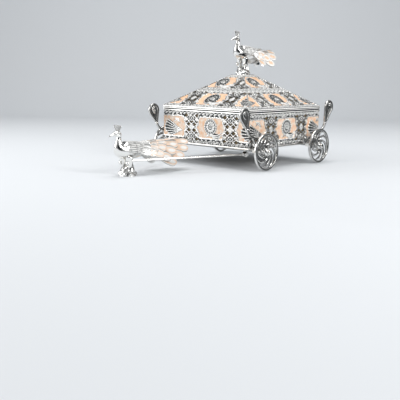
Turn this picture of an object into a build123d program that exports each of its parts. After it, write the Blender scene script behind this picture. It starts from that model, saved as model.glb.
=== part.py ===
from build123d import *
from math import acos, atan2, cos, hypot, pi, radians, sin, tan
import os

os.makedirs("parts", exist_ok=True)

# A trinket box built as a little carriage: a hipped lid with a peacock finial, four scroll
# wheels, four corner scrolls, and a second peacock in front that draws it by two rods.
# Sizes are millimetres. +Z is up, +X is the carriage's right side and its front faces -Y.
# The origin lies on the table, under the middle of the whole object's outline.

# Box
body_width = 160.0
body_depth = 165.0
body_underside = 27.2
seam_height = 76.4
sheet = 1.2
moulding_height = 3.0
moulding_lip = 2.0
moulding_ledge = 6.0
floor_thickness = 1.6
liner_gap = 0.3
liner_wall = 1.6
rim_height = 2.4
rim_lip = 0.8

# Pressed work in the side panels: bracket shaped frames at one pitch, the middle one with a round
# medallion, and a pierced lattice column between each two
frame_pitch = 72.0
frame_height = 30.0
frame_top = 38.0
frame_waist = 51.0
frame_line = 1.6
medallion_radius = 11.6
medallion_line = 1.8
panel_relief = 0.6
front_frame = 12.0
side_frame = 1.0
lattice_reach = 6.8
lattice_step = 4.85
lattice_hole = 2.6
lattice_corner = 9.6

# Lid
eave_height = 4.2
eave_lip = 1.0
roof_inset = 0.4
roof_slope = 32.5
crown_opening = 24.0
crown_thickness = 1.6
crown_lip = 1.2
core_gap = 0.3
core_wall = 1.6
core_deck = 2.0
core_joint = 0.1
lip_depth = 5.0
lip_clearance = 0.5
lip_wall = 1.4
hip_strip_width = 2.4
hip_strip_height = 0.9
roof_hole = 2.3
roof_hole_pitch = 11.5
roof_rows = (15.0, 36.0, 52.0, 68.0)

# Running gear
wheel_radius = 25.0
wheel_track = 189.2
wheel_base = 126.0
rim_section = 3.4
rim_width = 4.2
hub_radius = 4.6
hub_length = 7.0
spoke_count = 8
spoke_width = 1.7
spoke_thickness = 2.6
curl_radius = 2.7
spoke_swing = 18.6
spoke_lean = 72.0
curl_reach = 0.78
curl_swing = 27.0
curl_line = 1.2
axle_diameter = 3.0
running_clearance = 0.05
side_play = 0.3
cap_radius = 3.4
cap_length = 3.2
cap_seat = 1.9
cap_dome = 2.4
saddle_width = 6.0
saddle_length = 9.0
saddle_depth = 4.6

# Corner scrolls: how far out from the carriage's middle, and how high, each point lies
scroll_plane = 84.8
scroll_width = 4.2
scroll_strip = 2.8
scroll_eye = 3.6
front_neck = (92.8, 55.2)
rear_neck = (91.8, 56.0)
front_loop = (98.4, 73.5)
rear_loop = (100.6, 79.8)
loop_radius = 8.0
loop_bead = 2.4
loop_web = 1.2
strip_return = 0.8
strip_bow = 2.2
front_curl = (30.0, 42.0)
rear_curl = (41.0, 36.0)
low_curl_radius = 5.2
low_bow = (62.0, 39.4)
rivet_diameter = 2.4
rivet_head = 2.6
rivet_head_height = 1.0
boss_radius = 2.5
rivet_place = (75.5, 34.4)

# Draw gear
lead_distance = 223.2
hinge_distance = 67.0
hinge_height = 20.0
eye_spacing = 124.0
eye_radius = 4.0
eye_thickness = 3.0
pin_diameter = 2.5
eye_stem = 3.0
rod_diameter = 2.6
rod_height = 19.0
ball_diameter = 5.2
bead_diameter = 3.8
ball_offset = 6.5
bead_offset = 4.6
lug_thickness = 1.6
lug_radius = 2.8
pin_head = 1.2
pin_head_lip = 0.8
lug_width = 2.6

# Peacocks: the one in front at full size, from the middle of its foot
lead_height = 64.5
finial_height = 61.5
bird_axis = 32.0
breast_reach = 19.0
rump_reach = 24.0
rump_radius = 7.0
bird_radius = 10.4
head_radius = 4.3
beak_reach = 27.5
neck_rings = ((-9.5, 35.5, 7.2, 40), (-14.8, 41.5, 4.0, 68), (-15.6, 47.0, 2.7, 92), (-14.8, 52.0, 3.1, 100))
beak_rings = ((18.2, 52.2, 2.7), (23.0, 51.6, 1.5))
beak_tip = (50.6, 0.5)
head_place = (-15.6, 52.6)
egg_shoulder = (-12.5, 8.1)
egg_flank = (12.0, 9.4)
crest_outline = ((-13.2, 55.2), (-8.6, 61.1), (-15.6, 63.6), (-21.6, 63.3), (-17.6, 55.6))
crest_thickness = 2.6
plume_bead = 1.45
plume_count = 5
first_plume = (-9.2, 61.6)
plume_step = (-2.95, 0.45)
foot_radius = 11.2
foot_height = 8.0
foot_edge = 2.4
foot_shoulder = (8.6, 5.6)
foot_neck = 5.4
foot_lobes = 7
lobe_radius = 3.6
lobe_inset = 2.6
leg_spacing = 13.0
leg_foot = 4.4
leg_rings = ((0, 3.8), (6.0, 3.0), (13.5, 2.85), (19.0, 4.05))
seat_gap = 0.05
screw_diameter = 4.0
screw_depth = 9.0
screw_head = 8.0
screw_head_height = 2.4

# Trains: centre feather's reach and height, the outer feathers' reach, spread and droop
lead_reach = 105.6
lead_tip = 40.8
lead_side_reach = 63.2
lead_spread = 24.0
lead_droop = 29.1
lead_feather = 12.0
finial_reach = 76.8
finial_tip = 31.0
finial_side_reach = 30.0
finial_spread = 19.0
finial_droop = 18.5
finial_feather = 10.4
feather_thickness = 1.3
feather_eye = 0.26
feather_stem = 0.44
feather_face = 1.3

# Rows of a train: how many feathers, how far they reach, how far they are raised, and how wide the
# row spreads; and the rings of its core: how far back, how wide, how high, and how far it sinks
train_rows = ((7, 1.0, 0.0, 1.0), (6, 0.80, 1.0, 0.86), (5, 0.60, 1.8, 0.86))
train_core = ((0, 1, 1, 0), (0.22, 1.25, 0.95, 0.4), (0.5, 1.35, 0.5, 1.2))

# Heights and half sizes that follow from the sizes above
half_width = body_width / 2
half_depth = body_depth / 2
panel_foot = body_underside + moulding_height
rim_foot = seam_height - rim_height
roof_foot = seam_height + eave_height
roof_half_x = half_width + eave_lip - roof_inset
roof_half_y = half_depth + eave_lip - roof_inset
crown_half_x = crown_opening / 2
crown_half_y = crown_half_x * roof_half_y / roof_half_x
roof_rise = (roof_half_x - crown_half_x) * tan(radians(roof_slope))
roof_top = roof_foot + roof_rise
crown_top = roof_top + crown_thickness
bore_radius = axle_diameter / 2 + running_clearance
wheel_x = wheel_track / 2
axle_y = wheel_base / 2
scroll_face = scroll_plane + scroll_width / 2
rear_reach = rear_loop[0] + loop_radius + scroll_strip / 2
front_reach = lead_distance + beak_reach

# The carriage's middle lies behind the origin, because the bird reaches far out in front
cart_y = (front_reach - rear_reach) / 2
cart = Plane(origin=(0, cart_y, 0))


def upright(x):
    """A plane across X at x: its own x runs to the rear and its own y runs up."""
    return Plane(origin=(x, cart_y, 0), x_dir=(0, 1, 0), z_dir=(1, 0, 0))


def outward_face(turn, distance, height=0.0):
    """A vertical plane that looks out of the box's side that is turned by turn degrees."""
    look = Vector(0, -1, 0).rotate(Axis.Z, turn)
    along = Vector(1, 0, 0).rotate(Axis.Z, turn)
    origin = Vector(0, cart_y, height) + look * distance
    return Plane(origin=origin, x_dir=along, z_dir=look)


def finish(part, name):
    """Label a finished piece and write it to its own file."""
    part.label = name
    export_step(part, f"parts/{name}.step")


def frame_ring(outer_x, outer_y, inner_x, inner_y, foot, height, edge=0.0):
    """A rectangular frame given by half sizes, with its outer edges rounded by edge."""
    with BuildPart() as ring:
        with BuildSketch(cart.offset(foot)):
            Rectangle(2 * outer_x, 2 * outer_y)
        extrude(amount=height)
        if edge > 0:
            fillet(ring.edges().filter_by(GeomType.LINE), radius=edge)
        with BuildSketch(cart.offset(foot)):
            Rectangle(2 * inner_x, 2 * inner_y)
        extrude(amount=height, mode=Mode.SUBTRACT)
    return ring.part


# Box: the ledge frame, the floor, the inner box and the bright band under the seam
base_moulding = frame_ring(
    half_width + moulding_lip, half_depth + moulding_lip,
    half_width - moulding_ledge, half_depth - moulding_ledge,
    body_underside, moulding_height, edge=1.2,
)
finish(base_moulding, "base_moulding")

with BuildPart() as floor_plate:
    with BuildSketch(cart.offset(panel_foot)):
        Rectangle(body_width - 2 * sheet, body_depth - 2 * sheet)
    extrude(amount=floor_thickness)
finish(floor_plate.part, "floor_plate")

liner_x = half_width - sheet - liner_gap
liner_y = half_depth - sheet - liner_gap
liner_foot = panel_foot + floor_thickness
with BuildPart() as inner_box:
    with BuildSketch(cart.offset(liner_foot)):
        Rectangle(2 * liner_x, 2 * liner_y)
    extrude(amount=rim_foot - liner_foot)
    offset(amount=-liner_wall, openings=inner_box.faces().sort_by(Axis.Z)[-1])
finish(inner_box.part, "inner_box")

body_rim = frame_ring(
    half_width + rim_lip, half_depth + rim_lip,
    liner_x - liner_wall, liner_y - liner_wall,
    rim_foot, rim_height, edge=0.7,
)
finish(body_rim, "body_rim")


def bracket(scale=0.0):
    """The outline of a pressed frame: flat at the top and foot, swelling to a point at the waist."""
    top = frame_top / 2 + scale
    waist = frame_waist / 2 + scale
    high = frame_height / 2 + scale
    return [(-top, -high), (top, -high), (waist, 0), (top, high), (-top, high), (-waist, 0)]


def side_panel(turn, distance, length, frame_place, rivet_x):
    """A pressed sheet: its lattice columns are cut through, its frames and medallion are raised."""
    height = rim_foot - panel_foot
    middle = panel_foot + height / 2
    places = [frame_place + step * frame_pitch for step in (-1, 0, 1)]
    with BuildPart() as panel:
        with BuildSketch(outward_face(turn, distance - sheet, middle)):
            Rectangle(length, height)
        extrude(amount=sheet)
        with BuildSketch(outward_face(turn, distance - sheet, middle)):
            for place in (frame_place - frame_pitch / 2, frame_place + frame_pitch / 2):
                with Locations((place, 0)):
                    with GridLocations(1, 4 * lattice_step, 1, 2):
                        RegularPolygon(radius=lattice_hole, side_count=4)
                    with GridLocations(2 * lattice_reach, 2 * lattice_step, 2, 2):
                        RegularPolygon(radius=lattice_hole, side_count=4)
                    with GridLocations(2 * lattice_corner, height - 4 * lattice_hole, 2, 2):
                        RegularPolygon(radius=lattice_hole, side_count=4)
            with Locations((-rivet_x, rivet_place[1] - middle), (rivet_x, rivet_place[1] - middle)):
                if rivet_x > 0:
                    RegularPolygon(radius=rivet_diameter / 2 + running_clearance, side_count=12)
        extrude(amount=sheet, mode=Mode.SUBTRACT)
        with BuildSketch(outward_face(turn, distance, middle)):
            for place in places:
                with Locations((place, 0)):
                    Polygon(*bracket(), align=None)
                    Polygon(*bracket(-frame_line), align=None, mode=Mode.SUBTRACT)
            with Locations((frame_place, 0)):
                Circle(medallion_radius)
                Circle(medallion_radius - medallion_line, mode=Mode.SUBTRACT)
            Rectangle(length, height, mode=Mode.INTERSECT)
            if rivet_x > 0:
                for end in (-1, 1):
                    with Locations((end * rivet_x, rivet_place[1] - middle)):
                        Circle(2 * scroll_strip, mode=Mode.SUBTRACT)
        extrude(amount=panel_relief)
    return panel.part


side_length = body_depth - 2 * sheet
finish(side_panel(0, half_depth, body_width, front_frame, 0), "front_panel")
finish(side_panel(180, half_depth, body_width, front_frame, 0), "back_panel")
finish(side_panel(90, half_width, side_length, side_frame, rivet_place[0]), "right_panel")
finish(side_panel(270, half_width, side_length, side_frame, rivet_place[0]), "left_panel")

# Lid: the eave frame, the locating lip, the inner roof and the four pressed roof sheets
lip_x = liner_x - liner_wall - lip_clearance
lip_y = liner_y - liner_wall - lip_clearance
lid_rim = frame_ring(
    half_width + eave_lip, half_depth + eave_lip, lip_x, lip_y, seam_height, eave_height, edge=0.9
)
finish(lid_rim, "lid_rim")
lid_lip = frame_ring(
    lip_x, lip_y, lip_x - lip_wall, lip_y - lip_wall, seam_height - lip_depth, lip_depth + eave_height
)
finish(lid_lip, "lid_lip")

slope_x = atan2(roof_rise, roof_half_x - crown_half_x)
slope_y = atan2(roof_rise, roof_half_y - crown_half_y)


def roof_block(inset, foot=roof_foot, top=roof_top):
    """The roof's solid outline, with each sloping face moved in by inset, cut from foot to top."""
    in_x = inset / sin(slope_x)
    in_y = inset / sin(slope_y)
    with BuildPart() as block:
        for height in (foot, top):
            shrink_x = (height - roof_foot) / tan(slope_x) + in_x
            shrink_y = (height - roof_foot) / tan(slope_y) + in_y
            with BuildSketch(cart.offset(height)):
                Rectangle(2 * (roof_half_x - shrink_x), 2 * (roof_half_y - shrink_y))
        loft(ruled=True)
    return block.part


def roof_side(turn, half_along, half_across, joint=0.0):
    """The wedge of space over one side of the roof, up to the hips less half a joint."""
    corner = Vector(half_along, -half_across).rotate(Axis.Z, turn)
    other = Vector(-half_along, -half_across).rotate(Axis.Z, turn)
    middle = Vector(0, -joint).rotate(Axis.Z, turn)
    with BuildPart() as wedge:
        with BuildSketch(cart.offset(roof_foot)):
            Polygon((middle.X, middle.Y), (other.X, other.Y), (corner.X, corner.Y), align=None)
        extrude(amount=roof_rise)
    return wedge.part


core_top = roof_top - core_deck


def core_sheet(turn, half_along, half_across):
    """One plain sloping sheet of the inner roof, up to the underside of its deck."""
    with BuildPart() as slope:
        add(roof_block(sheet + core_gap, top=core_top - core_joint))
        add(roof_block(sheet + core_gap + core_wall, top=core_top), mode=Mode.SUBTRACT)
        add(roof_side(turn, half_along, half_across, core_joint), mode=Mode.INTERSECT)
    return slope.part


# The inner roof is four plain sheets and a deck, with hairline joints between them
with BuildPart() as lid_core:
    for turn in (0, 180):
        add(core_sheet(turn, roof_half_x, roof_half_y))
    for turn in (90, 270):
        add(core_sheet(turn, roof_half_y, roof_half_x))
    add(roof_block(sheet + core_gap, foot=core_top))
    with BuildSketch(cart.offset(roof_top)):
        Circle(screw_diameter / 2 + lip_clearance)
    extrude(amount=-core_deck, mode=Mode.SUBTRACT)
finish(lid_core.part, "lid_core")


def roof_panel(turn, half_along, half_across, crown_along, crown_across):
    """One sloping sheet, mitred at the hips, with rows of holes that thin out up the slope."""
    with BuildPart() as panel:
        add(roof_block(0))
        add(roof_block(sheet), mode=Mode.SUBTRACT)
        add(roof_side(turn, half_along, half_across), mode=Mode.INTERSECT)
        run = half_across - crown_across
        length = hypot(run, roof_rise)
        tilt = atan2(roof_rise, run)
        eave = outward_face(turn, half_across, roof_foot)
        up_slope = eave.x_dir.cross(Vector(0, 0, 1)) * -1 * cos(tilt) + Vector(0, 0, 1) * sin(tilt)
        if up_slope.dot(eave.z_dir) > 0:
            up_slope = up_slope - eave.z_dir * (2 * up_slope.dot(eave.z_dir))
        slope_plane = Plane(origin=eave.origin, x_dir=eave.x_dir, z_dir=eave.x_dir.cross(up_slope))
        with BuildSketch(slope_plane):
            for row in roof_rows:
                reach = half_along - (half_along - crown_along) * row / length - roof_hole_pitch * 0.7
                count = int(2 * reach / roof_hole_pitch) + 1
                with Locations((0, row)):
                    with GridLocations(roof_hole_pitch, 1, count, 1):
                        RegularPolygon(radius=roof_hole, side_count=4)
        extrude(amount=2 * sheet, both=True, mode=Mode.SUBTRACT)
    return panel.part


for name, turn in (("front_roof", 0), ("back_roof", 180)):
    finish(roof_panel(turn, roof_half_x, roof_half_y, crown_half_x, crown_half_y), name)
for name, turn in (("right_roof", 90), ("left_roof", 270)):
    finish(roof_panel(turn, roof_half_y, roof_half_x, crown_half_y, crown_half_x), name)

# Hip strips lie over the four mitres, from the eave's corners to the crown
hip_foot = Vector(roof_half_x, roof_half_y, roof_foot)
hip_head = Vector(crown_half_x, crown_half_y, roof_top)
with BuildPart() as hip_strips:
    for side in (-1, 1):
        for end in (-1, 1):
            foot = Vector(side * hip_foot.X, end * hip_foot.Y + cart_y, hip_foot.Z)
            head = Vector(side * hip_head.X, end * hip_head.Y + cart_y, hip_head.Z)
            run = head - foot
            level = Vector(-run.Y, run.X, 0).normalized()
            with BuildSketch(Plane(origin=foot, x_dir=level, z_dir=run)):
                Rectangle(hip_strip_width, 2 * hip_strip_height)
            extrude(amount=run.length)
    add(roof_block(0), mode=Mode.SUBTRACT)
    with BuildSketch(cart.offset(roof_top)):
        Rectangle(crown_opening * 2, crown_opening * 2)
    extrude(amount=crown_opening, mode=Mode.SUBTRACT)
    with BuildSketch(cart.offset(roof_foot)):
        Rectangle(body_width * 2, body_depth * 2)
    extrude(amount=-eave_height, mode=Mode.SUBTRACT)
finish(hip_strips.part, "hip_strips")

with BuildPart() as crown_plate:
    with BuildSketch(cart.offset(roof_top)):
        Rectangle(2 * (crown_half_x + crown_lip), 2 * (crown_half_y + crown_lip))
    extrude(amount=crown_thickness)
    fillet(crown_plate.edges().group_by(Axis.Z)[-1], radius=0.6)
    with BuildSketch(cart.offset(roof_top)):
        Circle(screw_diameter / 2 + lip_clearance)
    extrude(amount=crown_thickness, mode=Mode.SUBTRACT)
finish(crown_plate.part, "crown_plate")

with BuildPart() as finial_screw:
    with BuildSketch(cart.offset(roof_top - core_deck)):
        Circle(screw_diameter / 2)
    extrude(amount=core_deck + crown_thickness + screw_depth)
    with BuildSketch(cart.offset(roof_top - core_deck)):
        Circle(screw_head / 2)
    extrude(amount=-screw_head_height)
    chamfer(finial_screw.edges().group_by(Axis.Z)[0], length=0.8)
finish(finial_screw.part, "finial_screw")


def bird_side(foot, across=0.0):
    """The plane through a bird from beak to tail: x runs to the rear and y runs up."""
    return Plane(origin=foot + Vector(across, 0, 0), x_dir=(0, 1, 0), z_dir=(1, 0, 0))


def egg_body(foot, size, grow=0.0):
    """The bird's body: an egg turned about a level axis and cut flat at the rump."""
    side = bird_side(foot)
    high = bird_axis * size
    with BuildPart() as egg:
        with BuildSketch(side):
            with BuildLine():
                Spline(
                    (-breast_reach * size - grow, high),
                    (egg_shoulder[0] * size, high + egg_shoulder[1] * size + grow),
                    (0, high + bird_radius * size + grow),
                    (egg_flank[0] * size, high + egg_flank[1] * size + grow),
                    (rump_reach * size, high + rump_radius * size + grow),
                    tangents=((0, 1), (1, -0.35)),
                )
                Line((rump_reach * size, high + rump_radius * size + grow), (rump_reach * size, high))
                Line((rump_reach * size, high), (-breast_reach * size - grow, high))
            make_face()
        revolve(axis=Axis(side.from_local_coords(Vector(0, high, 0)), (0, 1, 0)))
    return egg.part


def peacock_body(foot, size):
    """Body, neck, head and beak. The neck swings forward and up in a long curve."""
    side = bird_side(foot)
    with BuildPart() as bird:
        add(egg_body(foot, size))
        for back, high, radius, angle in neck_rings:
            place = side.from_local_coords(Vector(back * size, high * size, 0))
            aim = Vector(0, -cos(radians(angle)), sin(radians(angle)))
            with BuildSketch(Plane(origin=place, x_dir=(1, 0, 0), z_dir=aim)):
                Circle(radius * size)
        loft()
        head = side.from_local_coords(Vector(head_place[0] * size, head_place[1] * size, 0))
        with Locations(head):
            Sphere(head_radius * size)
        for reach, high, radius in (*beak_rings, (beak_reach, *beak_tip)):
            place = side.from_local_coords(Vector(-reach * size, high * size, 0))
            with BuildSketch(Plane(origin=place, x_dir=(1, 0, 0), z_dir=(0, -1, 0))):
                Circle(radius * size)
        loft()
    return bird.part


def crest(foot, size, body):
    """A thin fan of plumes that stands on the head, with a bead at the end of each plume."""
    corners = [(back * size, high * size) for back, high in crest_outline]
    tips = [
        ((first_plume[0] + i * plume_step[0]) * size, (first_plume[1] + i * plume_step[1]) * size)
        for i in range(plume_count)
    ]
    with BuildPart() as fan:
        with BuildSketch(bird_side(foot)):
            with BuildLine():
                Polyline(*corners, close=True)
            make_face()
            with Locations(*tips):
                Circle(plume_bead * size)
        extrude(amount=crest_thickness * size / 2, both=True)
        add(body, mode=Mode.SUBTRACT)
    return fan.part


def pedestal(foot, size, rod_sockets):
    """A rocky lobed foot and the bird's two legs, hollowed where the body sits."""
    edge = (foot_radius * size, foot_edge * size)
    shoulder = (foot_shoulder[0] * size, foot_shoulder[1] * size)
    neck = (foot_neck * size, foot_height * size)
    with BuildPart() as stand:
        with BuildSketch(bird_side(foot)):
            with BuildLine():
                Polyline((0, 0), (foot_radius * size, 0), edge)
                ThreePointArc(edge, shoulder, neck)
                Polyline(neck, (0, foot_height * size), (0, 0))
            make_face()
        revolve(axis=Axis(foot, (0, 0, 1)))
        for i in range(foot_lobes):
            angle = 2 * pi * i / foot_lobes
            centre = foot + Vector(cos(angle), sin(angle), 0) * (foot_radius - lobe_inset) * size
            with Locations(centre + Vector(0, 0, lobe_inset * size)):
                Sphere(lobe_radius * size)
        for side in (-1, 1):
            ankle = foot + Vector(side * leg_spacing / 2 * size, 0, leg_foot * size)
            for rise, radius in leg_rings:
                with BuildSketch(Plane(origin=ankle + Vector(0, 0, rise * size))):
                    Circle(radius * size)
            loft()
        with BuildSketch(Plane(origin=foot)):
            Rectangle(4 * foot_radius, 4 * foot_radius)
        extrude(amount=-foot_radius, mode=Mode.SUBTRACT)
        add(egg_body(foot, size, seat_gap), mode=Mode.SUBTRACT)
        for socket in rod_sockets:
            add(socket, mode=Mode.SUBTRACT)
    return stand.part


def feather(root, tip, width, lift):
    """A spoon feather: a slim shaft that widens to a long rounded eye at the tip."""
    run = tip - root
    along = run.normalized()
    outward = Vector(tip.X, 0, lift).normalized()
    face = outward - along * outward.dot(along)
    length = run.length
    eye = feather_eye * length
    stem = feather_stem * width / 2
    with BuildPart() as plume:
        with BuildSketch(Plane(origin=root, x_dir=along, z_dir=face)):
            with Locations((length - eye, 0)):
                Ellipse(eye, width / 2)
            Polygon(
                (0, -stem), (length - eye, -width / 2), (length - eye, width / 2), (0, stem),
                align=None,
            )
        extrude(amount=feather_thickness)
    return plume.part


def train(foot, size, reach, tip, side_reach, spread, droop, width):
    """The tail: a tapering root on the rump that carries three rows of spoon feathers."""
    start = rump_reach * size
    axis_high = bird_axis * size
    with BuildPart() as tail:
        for share, wide, high, drop in train_core:
            back = start + (reach - start) * share
            place = foot + Vector(0, back, axis_high + (tip - axis_high) * share - drop * size)
            with BuildSketch(Plane(origin=place, x_dir=(1, 0, 0), z_dir=(0, 1, 0))):
                Ellipse(rump_radius * size * wide, rump_radius * size * high)
        loft()
        for count, stretch, raised, breadth in train_rows:
            for i in range(count):
                side = (2 * i / (count - 1) - 1) * breadth
                far = (reach - (reach - side_reach) * side * side - start) * stretch + start
                end = foot + Vector(
                    spread * sin(side * pi / 2) * stretch,
                    far,
                    tip - droop * abs(side) * stretch + raised,
                )
                root = foot + Vector(
                    0.6 * rump_radius * size * side, start + 3 * size, axis_high + rump_radius * size * 0.3
                )
                add(feather(root, end, width, feather_face * spread * (1 - 0.75 * abs(side))))
        with BuildSketch(Plane(origin=foot + Vector(0, start, 0), x_dir=(1, 0, 0), z_dir=(0, 1, 0))):
            Rectangle(8 * spread, 8 * spread)
        extrude(amount=-start, mode=Mode.SUBTRACT)
        with BuildSketch(Plane(origin=foot)):
            Rectangle(8 * spread, 8 * reach)
        extrude(amount=-spread, mode=Mode.SUBTRACT)
    return tail.part


# Finial peacock on the lid's crown
finial_foot = Vector(0, cart_y, crown_top)
finial_size = finial_height / lead_height
with BuildPart() as screw_bore:
    with BuildSketch(Plane(origin=finial_foot)):
        Circle(screw_diameter / 2 + running_clearance)
    extrude(amount=screw_depth + side_play)
finial_body = peacock_body(finial_foot, finial_size)
finish(finial_body, "finial_peacock")
finish(crest(finial_foot, finial_size, finial_body), "finial_crest")
finish(pedestal(finial_foot, finial_size, [screw_bore.part]), "finial_pedestal")
finish(
    train(
        finial_foot, finial_size, finial_reach, finial_tip,
        finial_side_reach, finial_spread, finial_droop, finial_feather,
    ),
    "finial_train",
)

# Lead peacock, drawn up in front on the table
lead_foot = Vector(0, cart_y - lead_distance, 0)
hinge_y = cart_y - hinge_distance


def draw_rod(side, grow=0.0):
    """A straight rod from the bird's leg to a bead, a ball and a lug with the hinge pin."""
    lug_x = eye_spacing / 2 + eye_thickness / 2 + side_play + lug_thickness / 2
    start = lead_foot + Vector(side * leg_spacing / 2, 0, rod_height)
    ball = Vector(side * lug_x, hinge_y - ball_offset, hinge_height)
    run = ball - start
    with BuildPart() as rod:
        with BuildSketch(Plane(origin=start, z_dir=run)):
            Circle(rod_diameter / 2 + grow)
        extrude(amount=run.length)
        with Locations(ball):
            Sphere(ball_diameter / 2)
        with Locations(ball - run.normalized() * bead_offset):
            Sphere(bead_diameter / 2)
        with BuildSketch(upright(side * lug_x)):
            with Locations((-hinge_distance, hinge_height)):
                Circle(lug_radius)
            with Locations((-hinge_distance - ball_offset / 2, hinge_height)):
                Rectangle(ball_offset, lug_width)
        extrude(amount=lug_thickness / 2, both=True)
        with BuildSketch(upright(side * lug_x)):
            with Locations((-hinge_distance, hinge_height)):
                Circle(pin_diameter / 2)
        extrude(amount=-side * (lug_thickness / 2 + eye_thickness + 2 * side_play + pin_head))
        with BuildSketch(upright(side * (eye_spacing / 2 - eye_thickness / 2 - side_play))):
            with Locations((-hinge_distance, hinge_height)):
                Circle(pin_diameter / 2 + pin_head_lip)
        extrude(amount=-side * pin_head)
    return rod.part


for side, name in ((-1, "draw_rod_left"), (1, "draw_rod_right")):
    finish(draw_rod(side), name)

with BuildPart() as rod_sockets:
    for side in (-1, 1):
        add(draw_rod(side, seat_gap))
lead_body = peacock_body(lead_foot, 1)
finish(lead_body, "lead_peacock")
finish(crest(lead_foot, 1, lead_body), "lead_crest")
finish(pedestal(lead_foot, 1, [rod_sockets.part]), "lead_pedestal")
finish(
    train(lead_foot, 1, lead_reach, lead_tip, lead_side_reach, lead_spread, lead_droop, lead_feather),
    "lead_train",
)

# Ring eyes under the front edge hang from the floor plate
for side, name in ((-1, "hitch_eye_left"), (1, "hitch_eye_right")):
    with BuildPart() as eye:
        with BuildSketch(upright(side * eye_spacing / 2)):
            with Locations((-hinge_distance, hinge_height)):
                Circle(eye_radius)
            with Locations((-hinge_distance, (hinge_height + panel_foot) / 2)):
                Rectangle(eye_stem, panel_foot - hinge_height)
            with Locations((-hinge_distance, hinge_height)):
                Circle(pin_diameter / 2 + running_clearance, mode=Mode.SUBTRACT)
        extrude(amount=eye_thickness / 2, both=True)
    finish(eye.part, name)

# Axles run right under the box, in saddle blocks on the base moulding's ledge
axle_reach = wheel_x + hub_length / 2 + side_play + cap_seat
for end, name in ((-1, "front_axle"), (1, "rear_axle")):
    with BuildPart() as axle:
        with BuildSketch(upright(0)):
            with Locations((end * axle_y, wheel_radius)):
                Circle(axle_diameter / 2)
        extrude(amount=axle_reach, both=True)
    finish(axle.part, name)

with BuildPart() as axle_saddles:
    for side in (-1, 1):
        for end in (-1, 1):
            with BuildSketch(upright(side * (half_width - moulding_ledge / 2))):
                with Locations((end * axle_y, body_underside - saddle_depth / 2)):
                    Rectangle(saddle_length, saddle_depth)
                with Locations((end * axle_y, wheel_radius)):
                    Circle(bore_radius, mode=Mode.SUBTRACT)
            extrude(amount=saddle_width / 2, both=True)
finish(axle_saddles.part, "axle_saddles")


def wheel(side, end):
    """A round rim and a stepped hub, joined by swirling scroll spokes with a curl on each."""
    centre = (end * axle_y, wheel_radius)
    middle = upright(side * wheel_x)
    inner_rim = wheel_radius - rim_section
    with BuildPart() as scroll_wheel:
        with BuildSketch(middle):
            for i in range(spoke_count):
                turn = 2 * pi * i / spoke_count
                points = []
                for radius, swing in ((hub_radius - 1, 0), (0.56 * inner_rim, spoke_swing), (inner_rim + 1, spoke_lean)):
                    angle = turn - side * radians(swing)
                    points.append((centre[0] + radius * cos(angle), centre[1] + radius * sin(angle)))
                with BuildLine():
                    ThreePointArc(*points)
                trace(line_width=spoke_width)
                curl = turn - side * radians(curl_swing)
                reach = curl_reach * inner_rim
                place = (centre[0] + reach * cos(curl), centre[1] + reach * sin(curl))
                with Locations(place):
                    RegularPolygon(radius=curl_radius, side_count=10)
                    RegularPolygon(radius=curl_radius - curl_line, side_count=10, mode=Mode.SUBTRACT)
        extrude(amount=spoke_thickness / 2, both=True)
        with BuildSketch(Plane(origin=(side * wheel_x, cart_y + centre[0], centre[1]))):
            with Locations((0, wheel_radius - rim_section / 2)):
                RectangleRounded(rim_width, rim_section, 1.4)
        revolve(axis=Axis((side * wheel_x, cart_y + centre[0], centre[1]), (1, 0, 0)))
        with BuildSketch(middle):
            with Locations(centre):
                Circle(hub_radius)
        extrude(amount=side * hub_length / 2)
        with BuildSketch(middle):
            with Locations(centre):
                Circle(hub_radius)
        extrude(amount=-side * (wheel_x - scroll_face - side_play))
        with BuildSketch(middle):
            with Locations(centre):
                Circle(bore_radius)
        extrude(amount=wheel_x - scroll_face + hub_length, both=True, mode=Mode.SUBTRACT)
    return scroll_wheel.part


def hub_cap(side, end):
    """A small dome pressed on the axle's end, which keeps the wheel on."""
    seat = upright(side * (wheel_x + hub_length / 2 + side_play))
    with BuildPart() as cap:
        with BuildSketch(seat):
            with Locations((end * axle_y, wheel_radius)):
                Circle(cap_radius)
        extrude(amount=side * cap_length)
        fillet(cap.edges().sort_by(Axis.X)[-1 if side > 0 else 0], radius=cap_dome)
        with BuildSketch(seat):
            with Locations((end * axle_y, wheel_radius)):
                Circle(bore_radius)
        extrude(amount=side * (cap_seat + running_clearance), mode=Mode.SUBTRACT)
    return cap.part


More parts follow.
